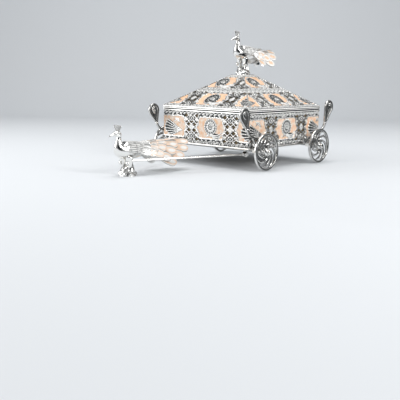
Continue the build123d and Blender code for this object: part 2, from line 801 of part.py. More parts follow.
def corner_scroll(side, end, neck, loop, curl):
    """A strip that loops over at the top, with a web and a bead in the loop, and sweeps down behind the
    wheel to a curl, with an axle eye."""
    gap = hypot(loop[0] - neck[0], loop[1] - neck[1])
    aim = atan2(loop[1] - neck[1], loop[0] - neck[0])
    spread = acos(loop_radius / gap)
    touches = []
    for turn in (spread, -spread):
        angle = aim + pi - turn
        touches.append((loop[0] + loop_radius * cos(angle), loop[1] + loop_radius * sin(angle)))
    inner, outer = touches
    top = (loop[0] + loop_radius * cos(aim), loop[1] + loop_radius * sin(aim))
    tail = (
        outer[0] + strip_return * (neck[0] - outer[0]),
        outer[1] + strip_return * (neck[1] - outer[1]),
    )
    reach = loop_radius - scroll_strip / 2 - 0.85 * loop_bead
    bead = (loop[0] + reach * cos(aim), loop[1] + reach * sin(aim))
    root = (axle_y, wheel_radius)
    bow = ((root[0] + neck[0]) / 2 + strip_bow, (root[1] + neck[1]) / 2 - strip_bow)
    low = (curl[0], curl[1] - low_curl_radius)
    back = (curl[0] - low_curl_radius, curl[1])
    high = (curl[0], curl[1] + low_curl_radius)
    over = (curl[0] + 0.64 * low_curl_radius, curl[1] + 0.77 * low_curl_radius)
    eye = (curl[0] + 0.98 * low_curl_radius, curl[1] + 0.2 * low_curl_radius)
    outline = [root, bow, neck, inner, top, outer, tail, bead, low_bow, low, back, high, over, eye]
    root, bow, neck, inner, top, outer, tail, bead, sweep, low, back, high, over, eye = [
        (end * out, up) for out, up in outline
    ]
    with BuildPart() as scroll:
        with BuildSketch(upright(side * scroll_plane)):
            with BuildLine():
                ThreePointArc(root, bow, neck)
                Line(neck, inner)
                ThreePointArc(inner, top, outer)
                Line(outer, tail)
            trace(line_width=scroll_strip)
            with BuildLine():
                Spline(neck, sweep, low, tangents=((-end * 0.5, -1), (-end, 0)))
                ThreePointArc(low, back, high)
                ThreePointArc(high, over, eye)
            trace(line_width=scroll_strip)
            with Locations(eye):
                Circle(scroll_strip * 0.75)
            with Locations(tail):
                Circle(scroll_strip * 0.8)
            with Locations(bead):
                Circle(loop_bead)
            with Locations(neck):
                Circle(scroll_strip * 0.95)
            with Locations(root):
                Circle(scroll_eye)
            with Locations((end * rivet_place[0], rivet_place[1])):
                Circle(scroll_strip)
            with Locations(root):
                Circle(bore_radius, mode=Mode.SUBTRACT)
        extrude(amount=scroll_width / 2, both=True)
        with BuildSketch(upright(side * scroll_plane)):
            with Locations((end * loop[0], loop[1])):
                Circle(loop_radius)
            Polygon(neck, inner, outer, align=None)
        extrude(amount=loop_web / 2, both=True)
        with BuildSketch(upright(side * half_width)):
            with Locations((end * rivet_place[0], rivet_place[1])):
                Circle(boss_radius)
        extrude(amount=side * (scroll_plane - scroll_width / 2 - half_width))
        with BuildSketch(upright(side * half_width)):
            with Locations((end * rivet_place[0], rivet_place[1])):
                RegularPolygon(radius=rivet_diameter / 2 + running_clearance, side_count=12)
        extrude(amount=side * scroll_plane, mode=Mode.SUBTRACT)
    return scroll.part


corners = (
    ("front_left", -1, -1, front_neck, front_loop, front_curl),
    ("front_right", 1, -1, front_neck, front_loop, front_curl),
    ("rear_left", -1, 1, rear_neck, rear_loop, rear_curl),
    ("rear_right", 1, 1, rear_neck, rear_loop, rear_curl),
)
for corner, side, end, neck, loop, curl in corners:
    finish(wheel(side, end), corner + "_wheel")
    finish(hub_cap(side, end), corner + "_cap")
    finish(corner_scroll(side, end, neck, loop, curl), corner + "_scroll")

with BuildPart() as scroll_rivets:
    for side in (-1, 1):
        for end in (-1, 1):
            with BuildSketch(upright(side * (half_width - sheet))):
                with Locations((end * rivet_place[0], rivet_place[1])):
                    RegularPolygon(radius=rivet_diameter / 2, side_count=12)
            extrude(amount=side * (scroll_face - half_width + sheet))
            with BuildSketch(upright(side * scroll_face)):
                with Locations((end * rivet_place[0], rivet_place[1])):
                    Circle(rivet_head)
            extrude(amount=side * rivet_head_height)
finish(scroll_rivets.part, "scroll_rivets")
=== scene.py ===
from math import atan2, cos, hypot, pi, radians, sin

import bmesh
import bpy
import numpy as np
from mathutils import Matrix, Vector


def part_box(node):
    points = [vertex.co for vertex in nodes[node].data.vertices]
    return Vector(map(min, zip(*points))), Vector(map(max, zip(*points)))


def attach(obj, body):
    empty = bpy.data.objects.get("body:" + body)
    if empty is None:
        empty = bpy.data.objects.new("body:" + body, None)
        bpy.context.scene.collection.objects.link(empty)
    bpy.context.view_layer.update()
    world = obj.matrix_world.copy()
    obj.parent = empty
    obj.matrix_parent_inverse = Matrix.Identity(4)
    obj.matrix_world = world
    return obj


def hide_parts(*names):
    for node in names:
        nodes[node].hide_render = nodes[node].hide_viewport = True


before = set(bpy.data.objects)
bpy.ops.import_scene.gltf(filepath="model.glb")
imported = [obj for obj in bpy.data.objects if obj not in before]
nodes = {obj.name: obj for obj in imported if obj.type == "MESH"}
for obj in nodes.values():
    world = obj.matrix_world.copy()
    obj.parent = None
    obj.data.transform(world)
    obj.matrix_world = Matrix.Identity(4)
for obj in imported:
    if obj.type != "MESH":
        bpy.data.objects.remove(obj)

# %% [markdown]
# # A trinket box built as a peacock carriage
# The real object is a silver plated box on four scroll wheels. Its side and roof sheets are pressed
# and pierced, with peach enamel in the flat fields, and two cast peacocks ride on it and draw it.
# The plain parts (foot moulding, rods, axles, caps, eyes) come from the CAD model and only get their
# finish here. The pressed sheets, the bright bands, the birds, the wheels and the corner scrolls are
# dressed: each is worked out as numpy surfaces in millimetres and stands in for the CAD node of the
# same place.

MM = 0.001
UP = np.array((0.0, 0.0, 1.0))
CART_Y = 70.35                      # the box's middle, behind the middle of the whole object
BOX_X, BOX_Y = 80.0, 82.5           # half the box's width and depth
PANEL_FOOT, PANEL_TOP = 30.2, 74.0
ROOF_FOOT, ROOF_RISE = 80.6, 43.7
ROOF_X, ROOF_Y = 80.6, 83.1         # half the roof at its eave
CROWN_X, CROWN_Y = 12.0, 12.37      # half the roof at its top
SHEET = 1.2                         # thickness of the pressed sheet
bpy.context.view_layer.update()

# %% [markdown]
# ## From a grid of points to a mesh
# Cast and pressed metal is one skin without loose edges. Modelling tools could make it face by face, but a
# formula keeps every repeat alike, so every surface below is a grid: rows along a shape and columns across or
# around it. A cap closes the end of a tube to the middle of its last ring, so no pole is left open. Each point
# also carries how much enamel, white and dark it has, which the material reads as attributes. The dark is oxide
# in hollows, and on the cast and bent parts painted shade and painted dark reflection. The white is white
# enamel and painted highlight.

# %% A grid becomes faces
VALUES = ("enamel", "white", "dark", "hole")


def shell(points, around=False, loop=False, caps=(False, False), **values):
    """Faces of a grid of points: a quad between each four neighbours. around joins each row to
    itself, loop joins the last row to the first, and a cap is a fan of triangles to the row's mean."""
    rows, columns = points.shape[:2]
    index = np.arange(rows * columns).reshape(rows, columns)
    ring = index
    if around:
        index = np.concatenate([index, index[:, :1]], 1)
    if loop:
        index = np.concatenate([index, index[:1]], 0)
    quads = np.stack([index[:-1, :-1], index[:-1, 1:], index[1:, 1:], index[1:, :-1]], -1).reshape(-1, 4)
    flat = points.reshape(-1, 3)
    shares = {k: np.broadcast_to(values.get(k, 0.0), (rows, columns)).reshape(-1) for k in VALUES}
    fans = []
    for wanted, row, turn in ((caps[0], 0, -1), (caps[1], -1, 1)):
        if wanted:
            edge = ring[row]
            pole = np.full(columns, len(flat))
            fans.append(np.stack([edge, np.roll(edge, -1), pole], -1)[:, ::turn])
            flat = np.concatenate([flat, points[row].mean(0)[None]])
            shares = {k: np.append(v, v[edge[0]]) for k, v in shares.items()}
    fans = np.concatenate(fans) if fans else np.zeros((0, 3), int)
    return {"points": flat, "quads": quads, "fans": fans, "values": shares}


test = shell(np.zeros((3, 8, 3)), around=True, caps=(True, True))
print("a tube of 3 rings of 8 points:", len(test["quads"]), "quads and", len(test["fans"]), "triangles")


# %% Shells become one object
def face_out(mesh, outward):
    """Turns closed shells outwards. A sheet is open, so it is turned over when the sum of its faces'
    normal * area looks against outward."""
    normals = np.empty(3 * len(mesh.polygons), np.float32)
    areas = np.empty(len(mesh.polygons), np.float32)
    mesh.polygons.foreach_get("normal", normals)
    mesh.polygons.foreach_get("area", areas)
    work = bmesh.new()
    work.from_mesh(mesh)
    if outward is None:
        bmesh.ops.recalc_face_normals(work, faces=work.faces)
    elif areas @ normals.reshape(-1, 3) @ outward < 0:
        bmesh.ops.reverse_faces(work, faces=work.faces)
    work.to_mesh(mesh)
    work.free()


def build(name, shells, finish, body, replaces, outward=None):
    """One smooth object from shells in millimetres, which rides on a body in place of a CAD node."""
    sizes, corners, offset = [], [], 0
    for part in shells:
        for faces in (part["quads"], part["fans"]):
            corners.append((faces + offset).ravel())
            sizes.append(np.full(len(faces), faces.shape[1]))
        offset += len(part["points"])
    sizes, corners = np.concatenate(sizes), np.concatenate(corners)
    points = np.concatenate([part["points"] for part in shells]) * MM
    mesh = bpy.data.meshes.new(name)
    mesh.vertices.add(len(points))
    mesh.vertices.foreach_set("co", points.astype(np.float32).ravel())
    mesh.loops.add(len(corners))
    mesh.loops.foreach_set("vertex_index", corners.astype(np.int32))
    mesh.polygons.add(len(sizes))
    mesh.polygons.foreach_set("loop_start", np.concatenate([[0], np.cumsum(sizes)[:-1]]).astype(np.int32))
    mesh.polygons.foreach_set("use_smooth", np.ones(len(sizes), bool))
    for value in VALUES:
        share = np.concatenate([part["values"][value] for part in shells]).astype(np.float32)
        mesh.attributes.new(value, "FLOAT", "POINT").data.foreach_set("value", share)
    mesh.update()
    mesh.validate()
    face_out(mesh, outward)
    mesh.materials.append(finish)
    made = bpy.data.objects.new(name, mesh)
    bpy.context.scene.collection.objects.link(made)
    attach(made, body)
    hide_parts(*replaces)
    print(f"{name}: {len(mesh.vertices)} points, {len(mesh.polygons)} faces")


# %% [markdown]
# ## Finishes
# Silver plate is a thin bright layer over brass: polished, it mirrors the room, with soft clouding
# from handling. A painted picture of reflections would be wrong from any other side, so the plate is
# a real mirror here, with the colour and the roughness of buffed silver. Colours are written as hex
# codes, as a colour picker shows them, and one function makes them linear light.

# %% One function for colours and one for shader nodes
def linear(code):
    """An sRGB hex colour as linear light: values above 0.04045 follow ((c + 0.055) / 1.055) ** 2.4."""
    share = np.array([int(code[i:i + 2], 16) for i in (1, 3, 5)]) / 255
    light = np.where(share > 0.04045, ((share + 0.055) / 1.055) ** 2.4, share / 12.92)
    return (*light, 1.0)


def add(tree, kind, inputs=None, **settings):
    """A shader node with its settings; inputs gives a socket a value or another node's output."""
    made = tree.nodes.new(kind)
    for name, value in settings.items():
        setattr(made, name, value)
    for socket, value in (inputs or {}).items():
        if isinstance(value, bpy.types.NodeSocket):
            tree.links.new(value, made.inputs[socket])
        else:
            made.inputs[socket].default_value = value
    return made


def blank_material(name):
    """A new material with an empty node tree that ends in a Principled shader."""
    made = bpy.data.materials.new(name)
    made.use_nodes = True
    made.node_tree.nodes.clear()
    shader = add(made.node_tree, "ShaderNodeBsdfPrincipled")
    add(made.node_tree, "ShaderNodeOutputMaterial", {"Surface": shader.outputs[0]})
    return made, made.node_tree, shader


print("mid grey #808080 as linear light:", round(linear("#808080")[0], 3))

# %% [markdown]
# ### Polished silver plate
# A buffed surface is never evenly smooth: fingers and cloths leave soft clouds a few millimetres
# across. A noise texture on Object coordinates moves the roughness a little up and down.

# %% Polished silver plate
CLOUDS_PER_METRE = 160.0            # one cloud about 6 mm wide


def silver_plate():
    """Bright plate whose roughness clouds between 0.10 and 0.22."""
    made, tree, shader = blank_material("polished silver plate")
    place = add(tree, "ShaderNodeTexCoord").outputs["Object"]
    clouds = add(tree, "ShaderNodeTexNoise", {"Vector": place, "Scale": CLOUDS_PER_METRE, "Detail": 3.0})
    rough = add(tree, "ShaderNodeMapRange", {"Value": clouds.outputs[0], "To Min": 0.10, "To Max": 0.22})
    shader.inputs["Base Color"].default_value = linear("#eceae6")
    shader.inputs["Metallic"].default_value = 1.0
    tree.links.new(rough.outputs[0], shader.inputs["Roughness"])
    return made


silver = silver_plate()
print("made:", silver.name)

# %% [markdown]
# ### Pressed plate with enamel and oxide
# In the pressed hollows the silver is oxidised nearly black, and the pierced openings show the dark lacquer
# behind. The peach fields are cold enamel: opaque, softly glossy, a little mottled. Separate pieces for each
# colour would need hundreds of edges to fit, so one material lays the colours over each other where the points'
# attributes say: oxide, lacquer, peach, and white on top. On the wheels, scrolls and feathers the dark is
# painted shade and painted dark reflection. On tops, ridges and rims the white is a painted highlight.

# %% Pressed plate with enamel and oxide
VEINS_PER_METRE = 230.0             # one vein about 4 mm wide


def pressed_plate(name, pale):
    """Silver where nothing lies on it, and the four colours by their shares. The peach clouds over to
    the pale colour in veins. What is covered is no metal: metallic = 1 - the largest share."""
    made, tree, shader = blank_material(name)
    peach, white, oxide, hole = (
        add(tree, "ShaderNodeAttribute", attribute_name=value).outputs["Fac"]
        for value in ("enamel", "white", "dark", "hole")
    )
    place = add(tree, "ShaderNodeTexCoord").outputs["Object"]
    mottle = add(tree, "ShaderNodeTexNoise", {"Vector": place, "Scale": VEINS_PER_METRE, "Detail": 5.0})
    veins = add(tree, "ShaderNodeMapRange", {"Value": mottle.outputs[0], "From Min": 0.38, "From Max": 0.62})
    tint = add(tree, "ShaderNodeMix", {"Factor": veins.outputs[0], "A": linear("#efc19a"), "B": linear(pale)},
               data_type="RGBA")
    colour = linear("#f0efec")
    # the dark share is oxide on the sheets, and painted shade and painted dark reflection on the cast and bent
    # parts; the white share is white enamel and painted highlight
    for share, over in (
        (oxide, linear("#1d2528")), (hole, linear("#6b5a3a")),
        (peach, tint.outputs["Result"]), (white, linear("#f4f3f0")),
    ):
        laid = add(tree, "ShaderNodeMix", {"Factor": share, "A": colour, "B": over}, data_type="RGBA")
        colour = laid.outputs["Result"]
    cover = add(tree, "ShaderNodeMath", {0: peach, 1: white}, operation="MAXIMUM").outputs[0]
    coat = add(tree, "ShaderNodeMath", {0: cover, 1: hole}, operation="MAXIMUM").outputs[0]
    bare = add(tree, "ShaderNodeMath", {0: 1.0, 1: coat}, operation="SUBTRACT", use_clamp=True)
    gloss = add(tree, "ShaderNodeMapRange", {"Value": cover, "To Min": 0.13, "To Max": 0.42}).outputs[0]
    dark = add(tree, "ShaderNodeMath", {0: oxide, 1: hole}, operation="MAXIMUM").outputs[0]
    dark_rough = add(tree, "ShaderNodeMath", {0: dark, 1: 0.6}, operation="MULTIPLY").outputs[0]
    rough = add(tree, "ShaderNodeMath", {0: gloss, 1: dark_rough}, operation="MAXIMUM", use_clamp=True)
    tree.links.new(colour, shader.inputs["Base Color"])
    tree.links.new(bare.outputs[0], shader.inputs["Metallic"])
    tree.links.new(rough.outputs[0], shader.inputs["Roughness"])
    return made


for_sides = pressed_plate("pressed silver plate with clouded enamel", "#f4e3d4")
for_feathers = pressed_plate("cast silver with feather enamel", "#f5d5b9")
for_roof = pressed_plate("pressed silver plate with peach enamel", "#f6d0b2")
print("made:", ", ".join(finish.name for finish in (for_sides, for_feathers, for_roof)))

# %% [markdown]
# ### Steel and dark lacquer
# The axles and the screw are turned steel, and the box's inside is brass under dark lacquer. Both
# hardly show, so one even colour each is enough. These CAD nodes keep their shape.

# %% Steel and dark lacquer
def plain(name, code, metallic, roughness):
    """One colour all over."""
    made, _, shader = blank_material(name)
    shader.inputs["Base Color"].default_value = linear(code)
    shader.inputs["Metallic"].default_value = metallic
    shader.inputs["Roughness"].default_value = roughness
    return made


steel = plain("turned steel", "#c3c3c4", 1.0, 0.28)
lacquer = plain("dark lacquered brass", "#3a2f1e", 0.0, 0.5)
kept = {
    silver: ("base_moulding", "axle_saddles", "scroll_rivets", "hitch_eye_left", "hitch_eye_right",
             "draw_rod_left", "draw_rod_right", "front_left_cap", "front_right_cap", "rear_left_cap",
             "rear_right_cap"),
    steel: ("front_axle", "rear_axle", "finial_screw"),
    lacquer: ("floor_plate", "inner_box", "lid_core", "lid_lip"),
}
for finish, names in kept.items():
    for name in names:
        nodes[name].data.materials.clear()
        nodes[name].data.materials.append(finish)
print("CAD nodes that keep their shape:", sum(len(names) for names in kept.values()))

# %% [markdown]
# ## The pressed sheets
# On the real box a steel tool presses cords, leaves and frames up from the sheet's ground, and the
# lattice is then cut through. Carving that with booleans would take thousands of cuts. Here a sheet
# is a height over a grid of points 0.42 mm apart, and each motif touches only the part of the grid
# around it: a cord stands as a half ellipse across its path, a leaf bulges between two arcs, a field
# lays enamel, and a hole sinks to the dark lacquer behind the sheet.

# %% The sheet as a height field
STEP = 0.42
GROUND = -0.45                      # the unpressed ground lies this far below the sheet's face


def blank(low_u, high_u, low_w, high_w):
    """An unpressed sheet: a grid of places with a height, an enamel share and a hole share."""
    u = np.linspace(low_u, high_u, round((high_u - low_u) / STEP) + 1)
    w = np.linspace(low_w, high_w, round((high_w - low_w) / STEP) + 1)
    U, W = np.meshgrid(u, w)
    return {"U": U, "W": W, "high": np.full(U.shape, GROUND), "enamel": np.zeros(U.shape),
            "hole": np.zeros(U.shape)}


def patch(sheet, low, high):
    """The part of the sheet between two corners, as views, so that changes reach the sheet."""
    columns = slice(*np.searchsorted(sheet["U"][0], (low[0], high[0])))
    rows = slice(*np.searchsorted(sheet["W"][:, 0], (low[1], high[1])))
    return [sheet[key][rows, columns] for key in ("U", "W", "high", "enamel", "hole")]


def press(area, share, height):
    """Presses metal up to height * sqrt(share), where share is above 0 and the metal there is lower.
    What is pressed is bare silver."""
    high, enamel, hole = area[2:]
    rise = height * np.sqrt(np.maximum(share, 0))
    on = (rise > 0) & (rise > high)
    high[on] = rise[on]
    enamel[on] = 0
    hole[on] = 0


print("points in a square centimetre of sheet:", blank(0, 10, 0, 10)["U"].size)


# %% Cord, bead and leaf
def cord(sheet, path, width, height=0.5):
    """A raised cord along a path: its share is 1 - (distance / half width) ** 2 beside its line."""
    path = np.asarray(path, float)
    half = np.broadcast_to(np.asarray(width, float) / 2, len(path))
    area = patch(sheet, path.min(0) - half.max(), path.max(0) + half.max())
    U, W = area[:2]
    share = np.full(U.shape, -1.0)
    for a, b, wide, wide_next in zip(path[:-1], path[1:], half[:-1], half[1:]):
        run = b - a
        t = np.clip(((U - a[0]) * run[0] + (W - a[1]) * run[1]) / max(run @ run, 1e-9), 0, 1)
        distance = np.hypot(U - a[0] - t * run[0], W - a[1] - t * run[1])
        share = np.maximum(share, 1 - (distance / (wide + t * (wide_next - wide))) ** 2)
    press(area, share, height)


def bead(sheet, centre, radius, height=0.7):
    """A round bead: its share is 1 - (distance / radius) ** 2."""
    area = patch(sheet, np.subtract(centre, radius), np.add(centre, radius))
    share = 1 - ((area[0] - centre[0]) ** 2 + (area[1] - centre[1]) ** 2) / radius ** 2
    press(area, share, height)


def leaf(sheet, root, tip, width, height=0.7, bend=0.0):
    """A leaf from root to tip: its half width is width / 2 * sin(pi * a ** 0.8) at the share a of its
    length, its middle line bows by bend, and it stands as a half ellipse with a groove for the rib."""
    root, tip = np.array(root, float), np.array(tip, float)
    size = np.hypot(*(tip - root))
    run = (tip - root) / size
    pad = width / 2 + abs(bend)
    area = patch(sheet, np.minimum(root, tip) - pad, np.maximum(root, tip) + pad)
    U, W = area[:2]
    a = ((U - root[0]) * run[0] + (W - root[1]) * run[1]) / size
    inside = np.clip(a, 0.001, 0.999)
    b = (W - root[1]) * run[0] - (U - root[0]) * run[1] - bend * 4 * inside * (1 - inside)
    share = np.where((a > 0) & (a < 1), 1 - (b / (width / 2 * np.sin(pi * inside ** 0.8))) ** 2, -1)
    groove = 1 - 0.55 * np.exp(-(b / 0.35) ** 2)
    press(area, share, height * groove)


trial = blank(-20, 20, -20, 20)
leaf(trial, (-4, 0), (4, 0), 3.0)
print("a leaf of 8 by 3 mm raises", int((trial["high"] > GROUND).sum()), "points")


# %% Field and hole
def field(sheet, outline, level, enamel):
    """Lays a flat field inside a closed outline. A point is inside when a ray from it crosses the
    outline an odd number of times."""
    outline = np.asarray(outline)
    area = patch(sheet, outline.min(0), outline.max(0))
    U, W = area[:2]
    inside = np.zeros(U.shape, bool)
    for (u0, w0), (u1, w1) in zip(outline, np.roll(outline, -1, 0)):
        if w0 != w1:
            inside ^= ((w0 > W) != (w1 > W)) & (U < (u1 - u0) * (W - w0) / (w1 - w0) + u0)
    area[2][inside], area[3][inside], area[4][inside] = level, enamel, 0


def hole(sheet, centre, half_u, half_w):
    """Cuts a diamond opening: inside |u| / half_u + |w| / half_w = 1 only the lacquer behind shows."""
    area = patch(sheet, np.subtract(centre, (half_u, half_w)), np.add(centre, (half_u, half_w)))
    inside = np.abs(area[0] - centre[0]) / half_u + np.abs(area[1] - centre[1]) / half_w < 1
    area[2][inside], area[3][inside], area[4][inside] = -SHEET, 0, 1


hole(trial, (0, 10), 3.0, 3.0)
print("a hole of 6 by 6 mm opens", int(trial["hole"].sum()), "points")


# %% Paths for the cords
def smooth(points, closed=False, steps=7):
    """A curve through points: between two of them it is the cubic that leaves and arrives parallel to
    the lines between their neighbours."""
    points = np.asarray(points, float)
    ends = (points[-1:], points[:2]) if closed else (points[:1], points[-1:])
    p = np.concatenate([ends[0], points, ends[1]])
    t = np.linspace(0, 1, steps, endpoint=False)[:, None]
    pieces = [
        0.5 * (2 * b + (c - a) * t + (2 * a - 5 * b + 4 * c - d) * t ** 2 + (3 * b - a - 3 * c + d) * t ** 3)
        for a, b, c, d in zip(p[:-3], p[1:-2], p[2:-1], p[3:])
    ]
    return np.concatenate(pieces + [p[-2][None]])


def spiral(centre, start_radius, end_radius, start, turn, count=22):
    """A spiral: the radius and the angle both change evenly from start to end."""
    t = np.linspace(0, 1, count)
    radius, angle = start_radius + (end_radius - start_radius) * t, start + turn * t
    return np.stack([centre[0] + radius * np.cos(angle), centre[1] + radius * np.sin(angle)], 1)


def toward(angle):
    """The step of length 1 at an angle: (cos, sin)."""
    return np.array((cos(angle), sin(angle)))


print("a spiral of one turn ends at", spiral((0, 0), 4, 1, 0, 2 * pi)[-1].round(2))

# %% [markdown]
# ### Motifs
# The sheets repeat three old ornaments of such boxes at a pitch of 72 mm. A bracket frame of peach
# enamel holds a round rosette with a tail flourish; the frames beside it hold a feather fan with a
# small bird; and between them stands a lattice column of crossed straps with a palmette. Each is
# drawn once, as on the presser's tool, and struck again at every pitch.

# %% Bracket frames
PITCH = 72.0
FRAME = [
    (-19, 14.4), (0, 14.8), (19, 14.4), (22.4, 8.5), (23.6, 3.5), (26.2, 0), (23.4, -3.5), (22, -8),
    (20.4, -14.2), (0, -14.6), (-20.4, -14.2), (-22, -8), (-23.4, -3.5), (-26.2, 0), (-23.6, 3.5),
    (-22.4, 8.5),
]
ENAMEL_LEVEL = -0.12                # the enamel fills its field to just below the sheet's face


def frame_field(sheet, centre, wide, tall):
    """An enamel field inside the bracket outline, with a cord round it and beads at its corners."""
    outline = smooth(np.array(FRAME) * (wide, tall) + centre, closed=True, steps=5)
    field(sheet, outline, ENAMEL_LEVEL, 1.0)
    cord(sheet, outline, 1.5, 0.5)
    for u, w in FRAME[3::5]:
        bead(sheet, (centre[0] + 1.04 * u * wide, centre[1] + 1.04 * w * tall), 1.1, 0.6)


def garland(sheet, centre, wide, tall, size):
    """Leaves along the bracket outline that lean in and out by turns, so that its edge is ragged."""
    outline = smooth(np.array(FRAME) * (wide, tall), closed=True, steps=6)
    walk = np.concatenate([[0], np.cumsum(np.hypot(*np.diff(outline, axis=0).T))])
    count = round(walk[-1] / (1.05 * size) / 2) * 2
    for i in range(count):
        spot = np.array([np.interp((i + 0.5) * walk[-1] / count, walk, outline[:, k]) for k in (0, 1)])
        way = spot / np.hypot(*spot)
        cross = np.array((-way[1], way[0]))
        if i % 2:
            tip = centre + spot - way * size * 0.62 + cross * size * 0.5
            leaf(sheet, centre + spot + way * 0.4, tip, size * 0.5, 0.7, 0.5)
        else:
            tip = centre + spot + way * size * 0.7 + cross * size * 0.4
            leaf(sheet, centre + spot - way * 0.3, tip, size * 0.5, 0.75, 0.5)
            bead(sheet, centre + spot + way * size * 0.2, size * 0.17, 0.7)


print("a frame is", max(u for u, w in FRAME) * 2, "mm wide")


# %% Rosette and flourish
def rosette(sheet, centre, radius, ground=-0.4, top=0.58):
    """A round medallion: a ring of beads, twelve small leaves that lean, and a curl. A low ground and
    top come out dark, a high one bright."""
    turns = np.linspace(0, 2 * pi, 41)[:-1]
    field(sheet, centre + np.stack([np.cos(turns), np.sin(turns)], 1) * radius, ground, 0.0)
    for angle in np.arange(20) * 2 * pi / 20:
        bead(sheet, centre + toward(angle) * (radius - 1.2), 1.35, top)
    for angle in np.arange(12) * 2 * pi / 12 + 0.2:
        tip = centre + toward(angle + 0.45) * (radius - 2.9)
        leaf(sheet, centre + toward(angle) * 4.6, tip, 2.5, top, 0.3)
    cord(sheet, spiral(centre, 3.9, 0.9, -pi / 4, 2.6 * pi), np.linspace(1.5, 1.1, 22), top)


def flourish(sheet, centre):
    """A peacock's tail that sweeps out under the medallion: three tapering cords with beaded ends, on
    a small oval of dark ground."""
    turns = np.linspace(0, 2 * pi, 25)[:-1]
    oval = np.stack([9.5 + 8.5 * np.cos(turns), -9.8 + 3.6 * np.sin(turns)], 1)
    field(sheet, centre + oval, 0.0, 0.0)
    for drop, reach in ((1.2, 19.5), (-1.4, 20.5), (-4.0, 17.5)):
        path = centre + np.array([
            (1.5, -8.0 + drop * 0.3), (8, -10.4 + drop * 0.8), (14, -9.6 + drop), (reach, -6.4 + drop),
        ])
        cord(sheet, smooth(path), np.linspace(2.0, 1.3, 22), 0.85)
        bead(sheet, path[-1], 1.1, 0.85)
    leaf(sheet, centre + (-2.0, -9.2), centre + (-9.0, -11.8), 3.2, 0.6, -0.6)
    bead(sheet, centre + (0.2, -10.2), 1.6, 0.8)


trial = blank(-20, 20, -20, 20)
rosette(trial, np.zeros(2), 12.0)
print(f"a rosette's relief: {trial['high'].max() - GROUND:.2f} mm")


# %% Feather fan
FAN_FEATHERS = (30, 33, 34, 34, 32, 28, 22)     # the length of each, from the upper to the lower one


def fan(sheet, centre):
    """A fan of seven feathers from one root, with rows of beads across it, and a small flying bird."""
    root = centre + (17.0, -5.5)
    turns = np.linspace(radians(150), radians(204), 9)
    reach = np.interp(turns, turns[[0, 4, 8]], [31, 35, 22])[:, None]
    edge = root + np.stack([np.cos(turns), np.sin(turns)], 1) * reach
    field(sheet, np.concatenate([[root + (1.5, 0)], edge]), -0.36, 0.0)
    for angle, reach in zip(np.linspace(radians(153), radians(201), 7), FAN_FEATHERS):
        way = toward(angle)
        cord(sheet, np.linspace(root, root + way * reach, 8), np.linspace(0.7, 1.5, 8), 0.5)
        for step in np.arange(10.0, reach, 4.2):
            bead(sheet, root + way * step, 1.0, 0.62)
        bead(sheet, root + way * reach, 1.5, 0.7)
    leaf(sheet, centre + (3.0, 11.0), centre + (15.0, 4.0), 4.0, 0.7, 1.4)
    leaf(sheet, centre + (6.5, 9.5), centre + (1.0, 6.5), 2.6, 0.6)
    leaf(sheet, centre + (8.5, 8.5), centre + (12.0, 12.0), 2.4, 0.6)
    bead(sheet, centre + (3.6, 11.2), 1.3, 0.8)


print("feathers in a fan:", len(FAN_FEATHERS), "of up to", max(FAN_FEATHERS), "mm")


# %% Lattice columns
STRAP_U, STRAP_W = 5.2, 4.1         # half the width and height of one cell of the lattice
PALMETTE = ((90, 6.2), (135, 5.4), (45, 5.4), (180, 4.6), (0, 4.6), (-90, 5.2), (-135, 4.4), (-45, 4.4))


def column(sheet, centre, tall=1.0):
    """Straps cross on the lines |u| / 5.2 + |w| / 4.1 = 1, 3, 5 and the cells between them are cut
    out; a palmette, two bosses and leaf scrolls lie on the crossings."""
    a, b, reach, top = STRAP_U, STRAP_W * tall, 12.4, 17.0 * tall
    centre = np.array(centre, float)
    for i in range(-2, 3):
        for j in range(-4, 5):
            if (i + j) % 2 == 0 and abs(i) + abs(j) > 1:
                hole(sheet, centre + (i * a, j * b), 0.66 * a, 0.66 * b)
    for lean in (-1, 1):
        for level in (-5, -3, -1, 1, 3, 5):
            low, high = max(-top, b * (level - reach / a)), min(top, b * (level + reach / a))
            w = np.linspace(low, high, 6)
            cord(sheet, centre + np.stack([lean * a * (level - w / b), w], 1), 1.5, 0.45)
    for end in (-1, 1):
        middle = centre + (0, end * 3.05 * b)
        diamond = middle + np.array([(0, 3.9), (5.4, 0), (0, -3.6), (-5.4, 0), (0, 3.9)])
        field(sheet, diamond, -0.3, 0.0)
        cord(sheet, diamond, 1.3, 0.6)
        bead(sheet, middle, 1.5, 0.75)
        for side in (-1, 1):
            hub = centre + (side * 10.6, end * 2.15 * b)
            curl = spiral(hub, 3.4, 0.8, -pi / 2 * end, side * end * 1.5 * pi)
            cord(sheet, curl, np.linspace(1.6, 0.9, 22), 0.65)
            tip = hub + (-side * 4.4, end * 4.2)
            leaf(sheet, hub + (side * 1.0, end * 1.5), tip, 2.8, 0.6, side * end * 0.8)
            leaf(sheet, hub + (side * 0.5, -end * 2.0), hub + (side * 2.0, -end * 6.2), 2.4, 0.6)
            bead(sheet, hub, 1.0, 0.8)
    for angle, reach in PALMETTE:
        way = toward(radians(angle)) * (1, tall)
        leaf(sheet, centre + way * 0.8, centre + way * reach, 3.0, 0.8)
    bead(sheet, centre, 1.1, 0.9)
    for side in (-1, 1):
        hub = centre + (side * 11.6, 0)
        for angle in (-55, 0, 55):
            leaf(sheet, hub, hub + toward(radians(angle)) * (-side, 1) * 3.9, 2.3, 0.65)


trial = blank(-12.4, 12.4, -17, 17)
column(trial, (0, 0))
print(f"cut out of a column: {100 * trial['hole'].mean():.0f} %")

# %% [markdown]
# ### Borders and the ground between
# A presser leaves no ground bare: rows of curls, shells and vines run along each edge, and small
# leaves fill what is left. The rows repeat at a pitch that divides the edge evenly. The small leaves
# fall in random places, and a fixed seed makes them fall alike each time.

# %% Border rows
def bays(low_u, high_u, pitch):
    """The middles of equal bays, as near to the pitch as an edge allows."""
    count = round((high_u - low_u) / pitch)
    return low_u + (np.arange(count) + 0.5) * (high_u - low_u) / count


